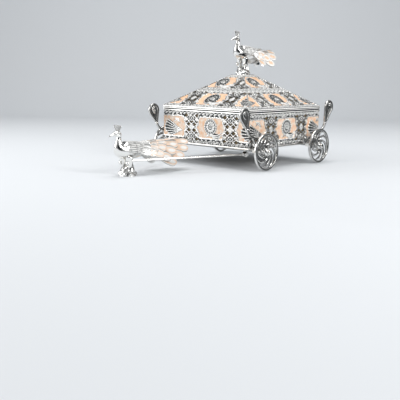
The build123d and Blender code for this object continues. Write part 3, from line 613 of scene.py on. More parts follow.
def loops(sheet, low_u, high_u, w, pitch, tall):
    """A row of leafy curls: each is a small spiral with a leaf that leans to the next."""
    for u in bays(low_u, high_u, pitch):
        curl = spiral((u, w), tall * 0.5, tall * 0.12, pi, -1.6 * pi, 12)
        cord(sheet, curl, np.linspace(1.3, 0.8, 12), 0.75)
        root, tip = (u + pitch * 0.12, w - tall * 0.45), (u + pitch * 0.62, w + tall * 0.3)
        leaf(sheet, root, tip, tall * 0.5, 0.8, 0.4)


def scallops(sheet, low_u, high_u, w, pitch, tall):
    """A row of shells: a half round cord with three short ribs in it."""
    turn = np.linspace(0, pi, 9)
    for u in bays(low_u, high_u, pitch):
        cord(sheet, np.stack([u + pitch * 0.44 * np.cos(turn), w + tall * np.sin(turn)], 1), 1.2, 0.55)
        for angle in (0.25 * pi, 0.5 * pi, 0.75 * pi):
            tip = (u + pitch * 0.3 * cos(angle), w + 0.72 * tall * sin(angle))
            leaf(sheet, (u, w - 0.2), tip, 1.3, 0.5)


def vine(sheet, low_u, high_u, w, pitch, tall):
    """A waving stem at w + 0.32 * tall * sin that throws a curl and two leaves into each of its bays."""
    u = np.linspace(low_u, high_u, round((high_u - low_u) / 1.6) + 2)
    cord(sheet, np.stack([u, w + tall * 0.32 * np.sin(2 * pi * u / pitch)], 1), 1.1, 0.5)
    for i, u in enumerate(np.arange(np.ceil(2 * low_u / pitch) * pitch / 2, high_u, pitch / 2)):
        end = 1 if i % 2 else -1
        hub = np.array((u + pitch * 0.22, w - end * tall * 0.1))
        curl = spiral(hub, tall * 0.3, tall * 0.08, end * pi / 2, end * 1.5 * pi, 12)
        cord(sheet, curl, np.linspace(1.3, 0.7, 12), 0.6)
        bead(sheet, hub, tall * 0.1 + 0.3, 0.75)
        leaf(sheet, (u, w), (u - pitch * 0.1, w + end * tall * 0.5), tall * 0.4, 0.85, 0.5 * end)
        leaf(sheet, (u, w), (u + pitch * 0.2, w + end * tall * 0.46), tall * 0.36, 0.8, -0.5 * end)


print("curls along a side of 160 mm:", len(bays(-80, 80, 7.2)))


# %% Scattered leaves
def scatter(sheet, count, size, seed):
    """Fills bare ground with small leaves in seeded random places and directions."""
    chance = np.random.default_rng(seed)
    low, high = (sheet["U"][0, 0], sheet["W"][0, 0]), (sheet["U"][-1, -1], sheet["W"][-1, -1])
    ranges = ((low[0], high[0]), (low[1], high[1]), (0, 2 * pi), (0.75, 1.25))
    for u, w, angle, grow in zip(*[chance.uniform(*limits, count) for limits in ranges]):
        row = min(int((w - low[1]) / STEP), len(sheet["W"]) - 1)
        spot = min(int((u - low[0]) / STEP), len(sheet["U"][0]) - 1)
        if sheet["high"][row, spot] < GROUND + 0.05 and not sheet["hole"][row, spot]:
            way = toward(angle) * size * grow
            leaf(sheet, (u, w), (u + way[0], w + way[1]), size * 0.5, 0.8, 0.3)
            bead(sheet, (u, w), size * 0.16, 0.75)


trial = blank(-20, 20, -20, 20)
scatter(trial, 60, 4.0, 1)
print(f"60 scattered leaves cover {100 * (trial['high'] > GROUND).mean():.0f} % of 40 by 40 mm")

# %% [markdown]
# ### From a pressed sheet to its place
# The hollows darken by how far a point lies below the mean of its surroundings, as oxide stays where a
# polishing cloth can't reach. The highest tops are polished silver, and a matt white laid on them is a painted
# highlight. A bump map would stay flat at the sheet's edge, so the relief is real: the grid is laid on the
# box's side or on the roof's slope. On the roof it stops at the hips: points beyond a hip move onto it, and
# faces that lie wholly beyond are left out.

# %% Oxide in the hollows
OXIDE_REACH = 3                     # grid steps, about 1.3 mm
HOLLOW_DEPTH, HOLLOW_SHARE = 0.3, 0.9
LOW_DEPTH, LOW_SHARE = 0.38, 0.97


def oxide(sheet, level):
    """How dark each point is, on bare metal only: the mean height within 1.3 mm less its own, over
    0.3 mm, or how far it lies below level, over 0.38 mm, whichever is more."""
    high = np.maximum(sheet["high"], GROUND)
    padded = np.pad(high, OXIDE_REACH, mode="edge")
    shifts = range(0, 2 * OXIDE_REACH + 1, 2)
    total = sum(padded[i:i + high.shape[0], j:j + high.shape[1]] for i in shifts for j in shifts)
    mean = total / len(shifts) ** 2
    hollow = np.clip((mean - high - 0.02) / HOLLOW_DEPTH, 0, 1) * HOLLOW_SHARE
    low = np.clip((level - high) / LOW_DEPTH, 0, 1) * LOW_SHARE
    return np.clip(np.maximum(hollow, low) * (1 - sheet["enamel"]), 0, 1)


print(f"mean oxide between the scattered leaves: {oxide(trial, 0.44).mean():.2f}")


# %% Lay a sheet
HIGHLIGHT_FROM, HIGHLIGHT_OVER = 0.44, 0.1        # a painted highlight whitens the tops from this height over this range


def lay(sheet, origin, along, up, out, level, highlight_share, limit=None):
    """Places the sheet at origin + along * u + up * w + out * height, with a turned down edge. Metal below
    level is oxidised, and the share given after level is how much matt white lies on the tops of the relief as
    a painted highlight. limit is the half width at the foot and how much of it is lost for each millimetre of
    w."""
    # painted highlight: matt white over the polished silver on the relief's tops
    top_highlight = np.clip((sheet["high"] - HIGHLIGHT_FROM) / HIGHLIGHT_OVER, 0, 1) * highlight_share
    dark, top_highlight, enamel, opening, U, W = (
        np.pad(grid, 1, mode="edge")
        for grid in (oxide(sheet, level), top_highlight, sheet["enamel"], sheet["hole"], sheet["U"], sheet["W"])
    )
    high = np.pad(sheet["high"], 1, constant_values=-SHEET)
    beyond = np.zeros(U.shape, bool)
    if limit:
        edge = limit[0] - limit[1] * W
        beyond = np.abs(U) > edge
        U = np.clip(U, -edge, edge)
    points = origin + U[..., None] * along + W[..., None] * up + high[..., None] * out
    made = shell(points, enamel=enamel, dark=dark, hole=opening, white=top_highlight)
    made["quads"] = made["quads"][~beyond.ravel()[made["quads"]].all(1)]
    print(f"oxide over {100 * dark.mean():.0f} %, enamel over {100 * enamel.mean():.0f} %")
    return made


def turned(vectors, turn):
    """Vectors turned about the upright axis by turn degrees: (c x - s y, s x + c y, z)."""
    c, s = cos(radians(turn)), sin(radians(turn))
    x, y, z = np.moveaxis(np.asarray(vectors, float), -1, 0)
    return np.stack([c * x - s * y, s * x + c * y, z], -1)


print("the right side looks along", turned((0, -1, 0), 90).round(3))

# %% [markdown]
# ### Side panels
# Each side of the box is one sheet: a rosette's frame with a fan's frame on each hand, columns
# between, curls along the top and shells along the foot. The front one is pressed off centre, as on
# the real box, so its rosette stands 12 mm to the right.

# %% Side panels
MIDDLE = 52.0                       # height of the frames' middles


def press_side(length, centre):
    """One side, with its rosette at centre."""
    sheet = blank(-length / 2, length / 2, PANEL_FOOT, PANEL_TOP)
    for k in (-2, -1, 0, 1, 2):
        column(sheet, (centre + (k + 0.5) * PITCH, MIDDLE))
    for k in (-1, 0, 1):
        place = np.array((centre + k * PITCH, MIDDLE))
        frame_field(sheet, place, 1.0, 1.0)
        garland(sheet, place, 1.03, 1.06, 4.0)
        if k:
            fan(sheet, place)
        else:
            rosette(sheet, place + (0, 2.0), 11.6, 0.12, 0.85)
            flourish(sheet, place)
    loops(sheet, -length / 2, length / 2, 71.2, 7.2, 5.0)
    scallops(sheet, -length / 2, length / 2, 31.0, 7.2, 3.4)
    scatter(sheet, 300, 3.6, round(100 + length + centre))
    return sheet


for name, turn, distance, length, centre in (
    ("front_panel", 0, BOX_Y, 160.0, 12.0), ("back_panel", 180, BOX_Y, 160.0, 12.0),
    ("right_panel", 90, BOX_X, 162.6, 1.0), ("left_panel", 270, BOX_X, 162.6, 1.0),
):
    look, along = turned((0, -1, 0), turn), turned((1, 0, 0), turn)
    origin = np.array((0, CART_Y, 0)) + look * distance
    sheet = lay(press_side(length, centre), origin, along, UP, look, level=0.44, highlight_share=0.9)
    build("pressed_" + name, [sheet], for_sides, "carriage", [name], outward=look)

# %% [markdown]
# ### Roof panels
# The lid is four sloping sheets. Each carries a tier of frames over the eave, a bright band with two
# vines, and a smaller frame above it, where the slope narrows. All is pressed on a long rectangle
# first, and the hips then cut it to its shape, as a tinsmith cuts a pressed sheet.

# %% Press the roof sheets
BRIGHT_BANDS = ((38.6, 49.0, 0.485), (77.0, 82.0, 0.47), (0.0, 4.6, 0.47))    # from, to, level
VINES = ((40.5, 9.0, 6.0), (47.0, 11.0, 5.6), (79.5, 9.0, 6.0))               # place, pitch, height
LOWER_TIER, UPPER_TIER = 20.5, 64.0


def press_roof(half_eave, length, shift):
    """One slope, whose upper frame stands at shift."""
    sheet = blank(-half_eave, half_eave, 0.0, length)
    for low, high, level in BRIGHT_BANDS:
        band = [(-half_eave, low), (half_eave, low), (half_eave, high), (-half_eave, high)]
        field(sheet, band, level, 0.0)
    for place, pitch, tall in VINES:
        vine(sheet, -half_eave, half_eave, place, pitch, tall)
    for k in (-2, -1, 0, 1):
        column(sheet, (-1 + (k + 0.5) * PITCH, LOWER_TIER + 0.5))
    for k in (-1, 0, 1):
        place = np.array((-1 + k * PITCH, LOWER_TIER))
        frame_field(sheet, place, 0.96, 1.0)
        garland(sheet, place, 0.98, 1.06, 6.0)
        if k:
            fan(sheet, place)
        else:
            rosette(sheet, place + (0, 0.5), 12.8)
            flourish(sheet, place)
    for k in (-0.5, 0.5):
        column(sheet, (shift + k * PITCH, UPPER_TIER - 0.5), 0.85)
    place = np.array((shift, UPPER_TIER))
    frame_field(sheet, place, 0.94, 0.94)
    garland(sheet, place, 0.96, 1.0, 5.6)
    rosette(sheet, place + (-1.0, 0.5), 11.6)
    flourish(sheet, place)
    cord(sheet, [(-half_eave, 43.8), (half_eave, 43.8)], 1.4, 0.55)
    loops(sheet, -half_eave, half_eave, 2.6, 6.4, 4.4)
    scatter(sheet, 620, 5.0, round(200 + half_eave))
    return sheet


print("bright bands on a slope:", len(BRIGHT_BANDS), "vines:", len(VINES))

# %% Lay them on the slopes
OVER_FRONT = (ROOF_X, ROOF_Y, CROWN_X, CROWN_Y, -13.0)
OVER_SIDE = (ROOF_Y, ROOF_X, CROWN_Y, CROWN_X, -7.0)
for name, turn, measures in (
    ("front_roof", 0, OVER_FRONT), ("back_roof", 180, OVER_FRONT),
    ("right_roof", 90, OVER_SIDE), ("left_roof", 270, OVER_SIDE),
):
    half_eave, half_across, crown_along, crown_across, shift = measures
    look, along = turned((0, -1, 0), turn), turned((1, 0, 0), turn)
    run = half_across - crown_across
    length = hypot(run, ROOF_RISE)
    slope = (UP * ROOF_RISE - look * run) / length
    out = (UP * run + look * ROOF_RISE) / length
    origin = np.array((0, CART_Y, ROOF_FOOT)) + look * half_across
    limit = (half_eave, (half_eave - crown_along) / length)
    sheet = lay(press_roof(half_eave, length, shift), origin, along, slope, out, 0.6, 0.85, limit)
    build("pressed_" + name, [sheet], for_roof, "lid", [name], outward=out)

# %% [markdown]
# ## Bright bands
# The bands between box and lid are drawn strips with a rounded face and a dark groove, soldered at the mitres.
# A bevelled frame could stand in, but the groove would be lost, so each is four short lengths of one closed
# profile whose ends are cut at 45 degrees. Their faces are darkened a little, the lid's band more than the
# box's.

# %% Drawn strips round the seam
def mitred(half_x, half_y, profile, dark=0.0):
    """Four lengths of a closed profile of (inset, height) points, each from corner to corner. A second
    ring just inside each end keeps the cut's shading off the long faces."""
    profile = np.array(profile)
    hand = np.array([-1.0, -0.995, 0.995, 1.0])[:, None]
    made = []
    for turn in (0, 90, 180, 270):
        half, reach = (half_x, half_y) if turn % 180 == 0 else (half_y, half_x)
        local = np.broadcast_arrays(hand * (half - profile[:, 0]), profile[:, 0] - reach, profile[:, 1])
        strip = turned(np.stack(local, -1), turn) + (0, CART_Y, 0)
        made.append(shell(strip, around=True, caps=(True, True), dark=dark))
    return made


def measured(node):
    """A CAD node's half widths, its foot and its top in millimetres."""
    low, high = (np.array(corner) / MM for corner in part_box(node))
    return (high[0] - low[0]) / 2, (high[1] - low[1]) / 2, low[2], high[2]


LID_STRIP = (
    (5.0, 0.1), (1.3, 0.0), (1.0, 0.5), (0.05, 0.75), (0.0, 1.0), (0.25, 1.9), (0.95, 2.15), (0.95, 2.6),
    (0.15, 2.8), (0.2, 3.1), (0.4, 3.7), (0.8, 4.1), (1.3, 4.2), (5.0, 4.2),
)
BODY_STRIP = (
    (4.0, 0.0), (0.4, 0.0), (0.05, 0.12), (0.0, 0.4), (0.12, 0.9), (0.3, 1.5), (1.0, 1.8), (1.3, 2.38),
    (4.0, 2.38),
)
for node, body, face_darkening, profile in (
    ("lid_rim", "lid", 0.24, LID_STRIP), ("body_rim", "carriage", 0.12, BODY_STRIP),
):
    half_x, half_y, foot, top = measured(node)
    raised = [(inset, foot + height) for inset, height in profile]
    # the faces are darkened by this share, and the groove by 0.95
    shade = [0.95 if 0.9 < inset < 2.0 and height < 4 else face_darkening for inset, height in profile]
    build("drawn_" + node, mitred(half_x, half_y, raised, shade), for_roof, body, [node])

# %% [markdown]
# ### The crown
# A small pressed plate closes the roof's top and carries the finial. It has the same mitred corners
# as the bands, so the same function makes it from a flat, sloping profile.

# %% Crown under the finial
half_x, half_y, foot, top = measured("crown_plate")
profile = [(11.0, foot), (0.3, foot), (0.0, foot + 0.3), (0.5, foot + 0.6), (2.6, top), (11.0, top)]
build("pressed_crown", mitred(half_x, half_y, profile), for_roof, "lid", ["crown_plate"])

# %% [markdown]
# ## Tubes for what is cast and bent
# The wheels' spokes, the corner scrolls, the birds' necks and legs are all a ring carried along a path. A curve
# object with a bevel could do that, but a ring of our own can swell, flatten and carry oxide, painted shade and
# painted dark reflections as it goes. Each ring stands across the path, with a half width along a fixed level
# direction and a half thickness across it, so a flat strip and a round wire come from one function.

# %% Sweep
LEVEL = np.array((1.0, 0.0, 0.0))   # rings stand across this where a shape lies in a side plane


def sweep(path, wide, thick, across, sides=14, square=1.0, loop=False, flank_shade=0.0, face=0.0, **values):
    """Rings along a path: path + across * wide * cos + normal * thick * sin, where the normal is square to the
    path and to across. A square below 1 flattens the ring's four sides. The dark share is painted shade on the
    flanks, by the flanks' share * sin ** 2, and a painted dark reflection down the middle of the faces, by the
    faces' share * cos ** 4."""
    path = np.asarray(path, float)
    across = np.asarray(across, float)
    if loop:
        ahead = np.roll(path, -1, 0) - np.roll(path, 1, 0)
    else:
        ahead = np.gradient(path, axis=0)
    ahead /= np.linalg.norm(ahead, axis=1, keepdims=True)
    normal = np.cross(ahead, across)
    normal /= np.linalg.norm(normal, axis=1, keepdims=True)
    turn = np.arange(sides) * 2 * pi / sides
    level, rise = (np.sign(wave) * np.abs(wave) ** square for wave in (np.cos(turn), np.sin(turn)))
    wide, thick = (np.broadcast_to(size, len(path))[:, None, None] for size in (wide, thick))
    points = path[:, None] + wide * level[:, None] * across + thick * rise[:, None] * normal[:, None]
    # painted shade on the flanks and a painted dark reflection down the middle of the faces
    if flank_shade or face:
        values["dark"] = flank_shade * np.sin(turn)[None] ** 2 + face * np.cos(turn)[None] ** 4
    return shell(points, around=True, loop=loop, caps=(not loop, not loop), **values)


def ball(centre, radius, sides=12, squash=(1, 1, 1)):
    """A globe: rings of radius sin(t) at the height cos(t), with both poles capped."""
    t = np.linspace(0.12, pi - 0.12, sides // 2 + 1)[:, None]
    turn = np.arange(sides)[None] * 2 * pi / sides
    points = np.stack([np.sin(t) * np.cos(turn), np.sin(t) * np.sin(turn), np.cos(t) + 0 * turn], -1)
    return shell(np.asarray(centre) + points * radius * np.asarray(squash), around=True, caps=(True, True))


def lathe(centre, outline, count):
    """A closed ring turned about the x axis: outline holds (x, radius) points from centre."""
    turn = np.arange(count)[:, None] * 2 * pi / count
    points = np.stack([centre[0] + outline[:, 0] + 0 * turn, centre[1] + outline[:, 1] * np.cos(turn),
                       centre[2] + outline[:, 1] * np.sin(turn)], -1)
    return shell(points, around=True, loop=True)


bar = sweep(np.outer(np.arange(4), UP), 1, 1, LEVEL)
print("a round bar of 4 rings with 14 sides:", len(bar["quads"]), "quads")

# %% [markdown]
# ### Twisted wire over the hips
# Where two roof sheets meet, a twisted wire is soldered over the joint. Two wires wound round each
# other would be thousands of faces that nobody sees, so one round bar swells and shrinks thirty
# times along the hip, and its waists are dark.

# %% Twisted wire over the hips
TWISTS = 30
hips = []
t = np.linspace(0, 1, 150)
twist = 0.5 + 0.5 * np.cos(t * 2 * pi * TWISTS)
radius, dark = 0.75 + 0.3 * twist, 0.7 * (1 - twist[:, None])
for side in (-1, 1):
    for end in (-1, 1):
        foot = np.array((side * (ROOF_X - 0.5), CART_Y + end * (ROOF_Y - 0.5), ROOF_FOOT + 0.4))
        head = np.array((side * CROWN_X, CART_Y + end * CROWN_Y, ROOF_FOOT + ROOF_RISE))
        flat = np.array((-end * side, 1.0, 0.0)) / 2 ** 0.5
        hips.append(sweep(foot + (head - foot) * t[:, None], radius, radius, flat, 10, dark=dark))
build("twisted_hips", hips, for_roof, "lid", ["hip_strips"])

# %% [markdown]
# ## Wheels
# Each wheel is cast in one piece: a round rim, a stepped hub, and scroll spokes that all swirl one way. Eight
# long ones swell in their middle, end on the rim and throw back a small curl, and eight short thin ones stand
# between them. Painted shade lies on their flanks, and a painted dark reflection lies down the middle of the
# rim's face. Each spoke is a swept tube whose path is worked out in polar coordinates round the axle, so all of
# them are alike.

# %% Cast scroll wheels
WHEEL_X, AXLE_Y, WHEEL_R = 94.6, 63.0, 25.0
RIM_MIDDLE, RIM_HALF_WIDTH, RIM_HALF_DEPTH = 23.3, 2.1, 1.7
# the bend in radians, the reach, the swell and the half depth of a long spoke and of a short one
SPOKES = ((1.3, 18.2, 1.1, 1.5), (1.0, 11.5, 0.25, 0.9))
HUB = np.array([
    (87.3, 1.56), (87.3, 4.2), (88.0, 4.6), (92.4, 4.6), (93.2, 5.4), (96.2, 5.4), (97.0, 4.4),
    (98.0, 4.0), (98.1, 1.56),
])


def wheel_shells(side, end):
    """Rim, hub, spokes and curls. A spoke leaves the hub straight and bends back: its angle is
    -bend * t ** 2 while its radius grows evenly, and it is widest at the share 0.65 of its length."""
    centre = np.array((WHEEL_X * side, CART_Y + end * AXLE_Y, WHEEL_R))

    def polar(radius, angle):
        """Points round the axle: centre + radius * (cos, sin) in the side plane."""
        return centre + np.stack([0 * angle, radius * np.cos(angle), radius * np.sin(angle)], -1)

    rim = polar(RIM_MIDDLE, np.arange(96) * 2 * pi / 96)
    # a painted dark reflection down the middle of the rim's face
    made = [sweep(rim, RIM_HALF_WIDTH, RIM_HALF_DEPTH, LEVEL, 16, 0.8, loop=True, face=0.95)]
    t, s = np.linspace(0, 1, 24), np.linspace(0, 1, 20)
    for i, turn in enumerate(np.arange(16) * 2 * pi / 16):
        bend, reach, swell, deep = SPOKES[i % 2]
        spoke = polar(3.6 + reach * t, turn - side * bend * t ** 2)
        thick = 0.5 + swell * np.sin(pi * t ** 1.6)
        # painted shade on the spokes' flanks
        made.append(sweep(spoke, deep * (0.6 + 0.4 * np.sin(pi * t)), thick, LEVEL, 12, flank_shade=0.97))
        if i % 2 == 0:
            eye = polar(18.3, turn - side * 0.71)
            roll, size = turn - side * (2.3 + 4.2 * s), 1.7 - 0.9 * s
            curl = eye + np.stack([0 * s, size * np.cos(roll), size * np.sin(roll)], -1)
            # painted shade on the curls' flanks
            made.append(sweep(curl, 1.0, 0.5, LEVEL, 8, flank_shade=0.97))
    made.append(lathe((0.0, centre[1], centre[2]), HUB * (side, 1), 32))
    return made


for end, row in ((-1, "front"), (1, "rear")):
    for side, hand in ((-1, "left"), (1, "right")):
        name = f"{row}_{hand}_wheel"
        build("cast_" + name, wheel_shells(side, end), for_roof, name, [name])

# %% [markdown]
# ## Corner scrolls
# A polished strip rises past each corner of the box to a closed loop with a leaf in it, like a
# peacock's head, and below its neck sweeps down behind the wheel to an open curl. A short arm carries
# the eye on the axle, and a boss holds the strip to the box. A bench worker bends such strips round
# pegs, and the paths below do the same: straight runs that touch a circle, and smooth curves.

# %% Paths of a scroll
SCROLL_X = 84.8
LOOP_R, CURL_R = 8.0, 5.5


def in_side_plane(path, x, end):
    """Turns a path of (distance behind the carriage's middle, height) into points at x."""
    path = np.asarray(path, float)
    return np.stack([np.full(len(path), x), CART_Y + end * path[:, 0], path[:, 1]], 1)


def loop_path(neck, loop):
    """A drop: from the neck a line touches the circle round loop, goes round it and comes back."""
    gap = np.hypot(*(loop - neck))
    aim, spread = atan2(*(loop - neck)[::-1]), np.arccos(LOOP_R / gap)
    turn = np.linspace(aim + pi - spread, aim - pi + spread, 40)
    arc = loop + LOOP_R * np.stack([np.cos(turn), np.sin(turn)], 1)
    rise = np.linspace(neck, arc[0], 8)[:-1]
    fall = np.linspace(arc[-1], neck + (arc[-1] - neck) * 0.16, 10)[1:]
    return np.concatenate([rise, arc, fall]), toward(aim)


def lower_path(neck, curl):
    """From the neck a smooth curve past the wheel that ends in a curl, and how thick it is there."""
    strip = smooth([neck + (0.5, 1.2), neck + (-6.0, -7.6), (70.0, 41.6), (58.0, 37.6), (46.0, 35.6),
                    curl + (2.6, -5.0)], steps=8)
    path = np.concatenate([strip[:-1], spiral(curl, CURL_R, 1.6, -pi / 2, -1.55 * pi, 30)])
    thick = np.interp(np.arange(len(path)), [0, 10, len(strip), len(path) - 1], [1.5, 1.7, 1.5, 0.8])
    return path, thick


print("the loop is", 2 * LOOP_R, "mm wide and the lower curl", 2 * CURL_R, "mm")


# %% Bent scroll strips
ARM = smooth([(AXLE_Y, WHEEL_R + 2.6), (66.0, 33.0), (72.0, 42.5)], steps=6)
ROOT = smooth([(75.5, 34.4), (77.5, 40.0), (82.0, 46.4)], steps=6)
# the share of the loop's outline and the half thickness of each ring of the web that fills it
WEB = ((1.0, 0.5), (0.93, 0.7), (0.6, 0.25), (0.25, 0.1), (0.02, 0.1))
EYE = np.array([(-2.1, 1.56), (-2.1, 3.3), (-1.8, 3.6), (1.8, 3.6), (2.1, 3.3), (2.1, 1.56)])


def scroll_shells(side, end, neck, loop, curl):
    """Strips, web, leaf, eye and boss of one scroll. A painted dark reflection lies down the middle of the
    strips and painted shade on their flanks, and the web in the loop is painted dark as shade.
    """
    x = SCROLL_X * side
    neck, loop, curl = np.array(neck), np.array(loop), np.array(curl)
    drop, way = loop_path(neck, loop)
    lower, taper = lower_path(neck, curl)
    bulge = np.interp(np.arange(len(drop)), [0, 8, 26, 46, len(drop) - 1], [1.8, 2.0, 2.2, 1.9, 1.4])
    # a painted dark reflection down the middle of each strip, and painted shade on its flanks
    made = [
        sweep(in_side_plane(path, x, end), wide, thick, LEVEL, sides, 0.8, flank_shade=0.3, face=face)
        for path, wide, thick, sides, face in (
            (drop, 2.1, bulge, 16, 0.97), (lower, 2.1, taper, 16, 0.97), (ARM, 1.8, 1.4, 12, 0.9),
            (ROOT, 1.8, 1.5, 12, 0.9),
        )
    ]
    middle = loop + 0.1 * (neck - loop)
    rings = WEB + tuple((share, -off) for share, off in WEB[::-1])
    web = [
        in_side_plane(middle + (drop[::-1] - middle) * share, x + side * off, end) for share, off in rings
    ]
    # the web in the loop is painted dark as shade
    made.append(shell(np.stack(web), around=True, caps=(True, True), dark=0.85))
    cross = np.array((-way[1], way[0]))
    swell = 0.5 + 1.2 * np.sin(pi * np.linspace(0.08, 1, 10))
    for lean in (-0.55, 0.0, 0.55):
        tip = loop + way * (5.4 - 1.2 * abs(lean)) + cross * lean * 5.6
        stem = np.linspace(loop - way * 5.2, tip, 10)
        made.append(sweep(in_side_plane(stem, x, end), 1.3, swell, LEVEL, 10))
    for place, radius, sides, squash in (
        (neck, 2.7, 14, (0.85, 1, 1)), (curl + (0.2, 0.4), 2.1, 12, (1, 1, 1)),
        (loop + way * 4.4, 2.3, 12, (1, 1, 1)),
    ):
        made.append(ball(in_side_plane([place], x, end)[0], radius, sides, squash))
    made.append(lathe((x, CART_Y + end * AXLE_Y, WHEEL_R), EYE, 28))
    boss = [(side * reach, CART_Y + end * 75.5, 34.4) for reach in (BOX_X + 0.02, SCROLL_X + 2.0)]
    made.append(sweep(boss, 2.5, 2.5, (0, 1, 0), 18))
    return made


for end, row, neck, loop, curl in (
    (-1, "front", (92.8, 55.2), (98.4, 73.5), (30.0, 42.0)),
    (1, "rear", (91.8, 56.0), (100.6, 79.8), (41.0, 36.0)),
):
    for side, hand in ((-1, "left"), (1, "right")):
        name = f"{row}_{hand}_scroll"
        shells = scroll_shells(side, end, neck, loop, curl)
        build("bent_" + name, shells, for_roof, "carriage", [name])

# %% [markdown]
# ## Peacocks
# Both birds are castings of one pattern, the finial a little smaller. Sculpting would do for one
# bird, but a tube can be measured: body, neck, head and beak are rings that lean with the neck's
# curve. The breast and neck are polished smooth. Over the back and wings the ring's radius carries
# rows of long lined feathers, as they were chased on the real casting.

# %% Body, neck and head
BIRD = np.array([
    # back, height, half width, half thickness, lean of the ring in degrees
    (27.5, 32.6, 5.6, 5.8, 0), (22.0, 32.5, 7.6, 7.4, 0), (13.0, 32.2, 9.6, 9.2, 0),
    (4.0, 31.8, 10.3, 10.2, 2), (-5.0, 32.0, 10.2, 10.7, 10), (-11.2, 33.8, 9.0, 9.9, 34),
    (-14.0, 37.8, 6.2, 6.9, 62), (-14.2, 42.4, 4.1, 4.4, 86), (-13.6, 46.6, 2.9, 3.1, 98),
    (-13.3, 49.8, 3.0, 3.1, 90), (-14.6, 52.4, 3.8, 3.9, 60), (-17.2, 53.4, 3.8, 3.7, 12),
    (-20.4, 52.9, 2.8, 2.7, -8), (-23.4, 52.0, 1.8, 1.7, -14), (-26.8, 50.8, 1.2, 1.1, -16),
    (-29.4, 49.8, 0.4, 0.4, -16),
])
FEATHER_LENGTH, FEATHERS_AROUND, LINES_AROUND = 10.5, 9, 27


def plumage(along, around):
    """Overlapping feathers: in each cell the height falls from 1 at the free edge, an arc, to 0."""
    row = np.floor(along)
    spot = around + 0.5 * (row % 2)
    offset = spot - np.round(spot)
    depth = along - row - 0.55 * (1 - np.sqrt(np.clip(1 - (2 * offset) ** 2, 0, 1)))
    return 1 - np.mod(depth, 1.0)


def body_shell(foot, size):
    """The bird's tube. Its skin is raised by up to 1.25 mm where the plumage lies: behind the breast, above the
    belly, ending on the wing's edge. Three lines run along each feather, dark between them and with a painted
    highlight on their tops."""
    rows = smooth(BIRD, steps=12)
    turn = np.arange(112) * 2 * pi / 112
    lean = np.radians(rows[:, 4])[:, None]
    side, rise = np.cos(turn)[None], np.sin(turn)[None]
    along = np.cumsum(np.hypot(*np.gradient(rows[:, :2], axis=0).T))[:, None]
    back = np.clip((rows[:, 0:1] + 11.0) / 5.0, 0, 1)
    wing = np.clip((rise + 0.42 + 0.012 * (rows[:, 0:1] - 5)) * 5, 0, 1) * back
    feather = plumage(along / FEATHER_LENGTH, turn[None] * FEATHERS_AROUND / (2 * pi))
    lines = 0.5 + 0.5 * np.cos(turn[None] * LINES_AROUND)
    lump = wing * (0.1 + 0.7 * feather ** 0.7 + 0.45 * lines)
    wide, thick = rows[:, 2:3] + lump, rows[:, 3:4] + lump
    points = np.stack([
        wide * side,
        rows[:, 0:1] + thick * rise * np.sin(lean),
        rows[:, 1:2] + thick * rise * np.cos(lean),
    ], -1)
    dark = wing * np.clip(0.7 - 4 * feather, 0, 0.6) + wing * 0.8 * (1 - lines) ** 4
    # painted highlight along the tops of the feather lines
    ridge_highlight = wing * np.clip(1.6 * lines - 0.2, 0, 0.85) * np.clip(4 * feather, 0, 1)
    return shell(foot + points * size, around=True, caps=(True, True), dark=np.clip(dark, 0, 0.9), white=ridge_highlight)


print("from rump to beak:", round(BIRD[0, 0] - BIRD[-1, 0], 1), "mm")

# %% [markdown]
# ### Crest and rocky foot
# A peacock's crest is a fan of small plumes. Cast in metal it is one flat plate with ripples, dark
# between the plumes. The foot is a lump of rock: a lathe profile gives its form, and waves of
# different pitch round it break the lathe's evenness. Two legs stand on it, each with a curl.

# %% Crest
def crest_shell(foot, size):
    """A flared fan between a root line and a tip line: across it the thickness ripples into six
    plumes, and a bead ends each plume."""
    a = np.linspace(0, 1, 20)[:, None]
    b = np.concatenate([np.linspace(-1, 1, 49), np.linspace(1, -1, 49)])[None]
    face = np.concatenate([np.ones(49), -np.ones(49)])[None]
    left, right = (
        np.array(root) + a[..., None] * (np.array(tip) - root)
        for root, tip in (((-17.4, 55.0), (-22.2, 63.4)), ((-13.0, 55.0), (-8.6, 61.4)))
    )
    flat = left + (right - left) * (b[..., None] + 1) / 2
    ripple = np.abs(np.cos(pi * 3 * (b + 1)))
    tip = np.exp(-((a - 0.9) / 0.1) ** 2)
    arch = 0.9 * a * (1 - b ** 2) + 0.7 * tip * ripple
    thick = (0.3 + 0.8 * ripple * (0.4 + a) + 0.8 * tip * ripple) * np.sqrt(np.clip(1.02 - b ** 2, 0.02, 1))
    points = np.stack([face * thick, flat[..., 0], flat[..., 1] + arch], -1)
    # the white on the plumes' ridges is a painted highlight
    return shell(foot + points * size, around=True, caps=(True, True), dark=(1 - ripple) * 0.95 * np.sqrt(a),
                 white=0.4 * ripple)


print("points of a crest:", len(crest_shell(np.zeros(3), 1.0)["points"]))


# %% Rocky foot and legs
FOOT = smooth([
    (0.0, 0.0), (10.4, 0.0), (11.1, 0.6), (11.2, 2.2), (10.6, 4.2), (9.2, 6.2), (8.0, 8.2), (7.4, 10.2),
    (6.0, 11.8), (3.0, 12.6), (0.0, 12.7),
], steps=5)


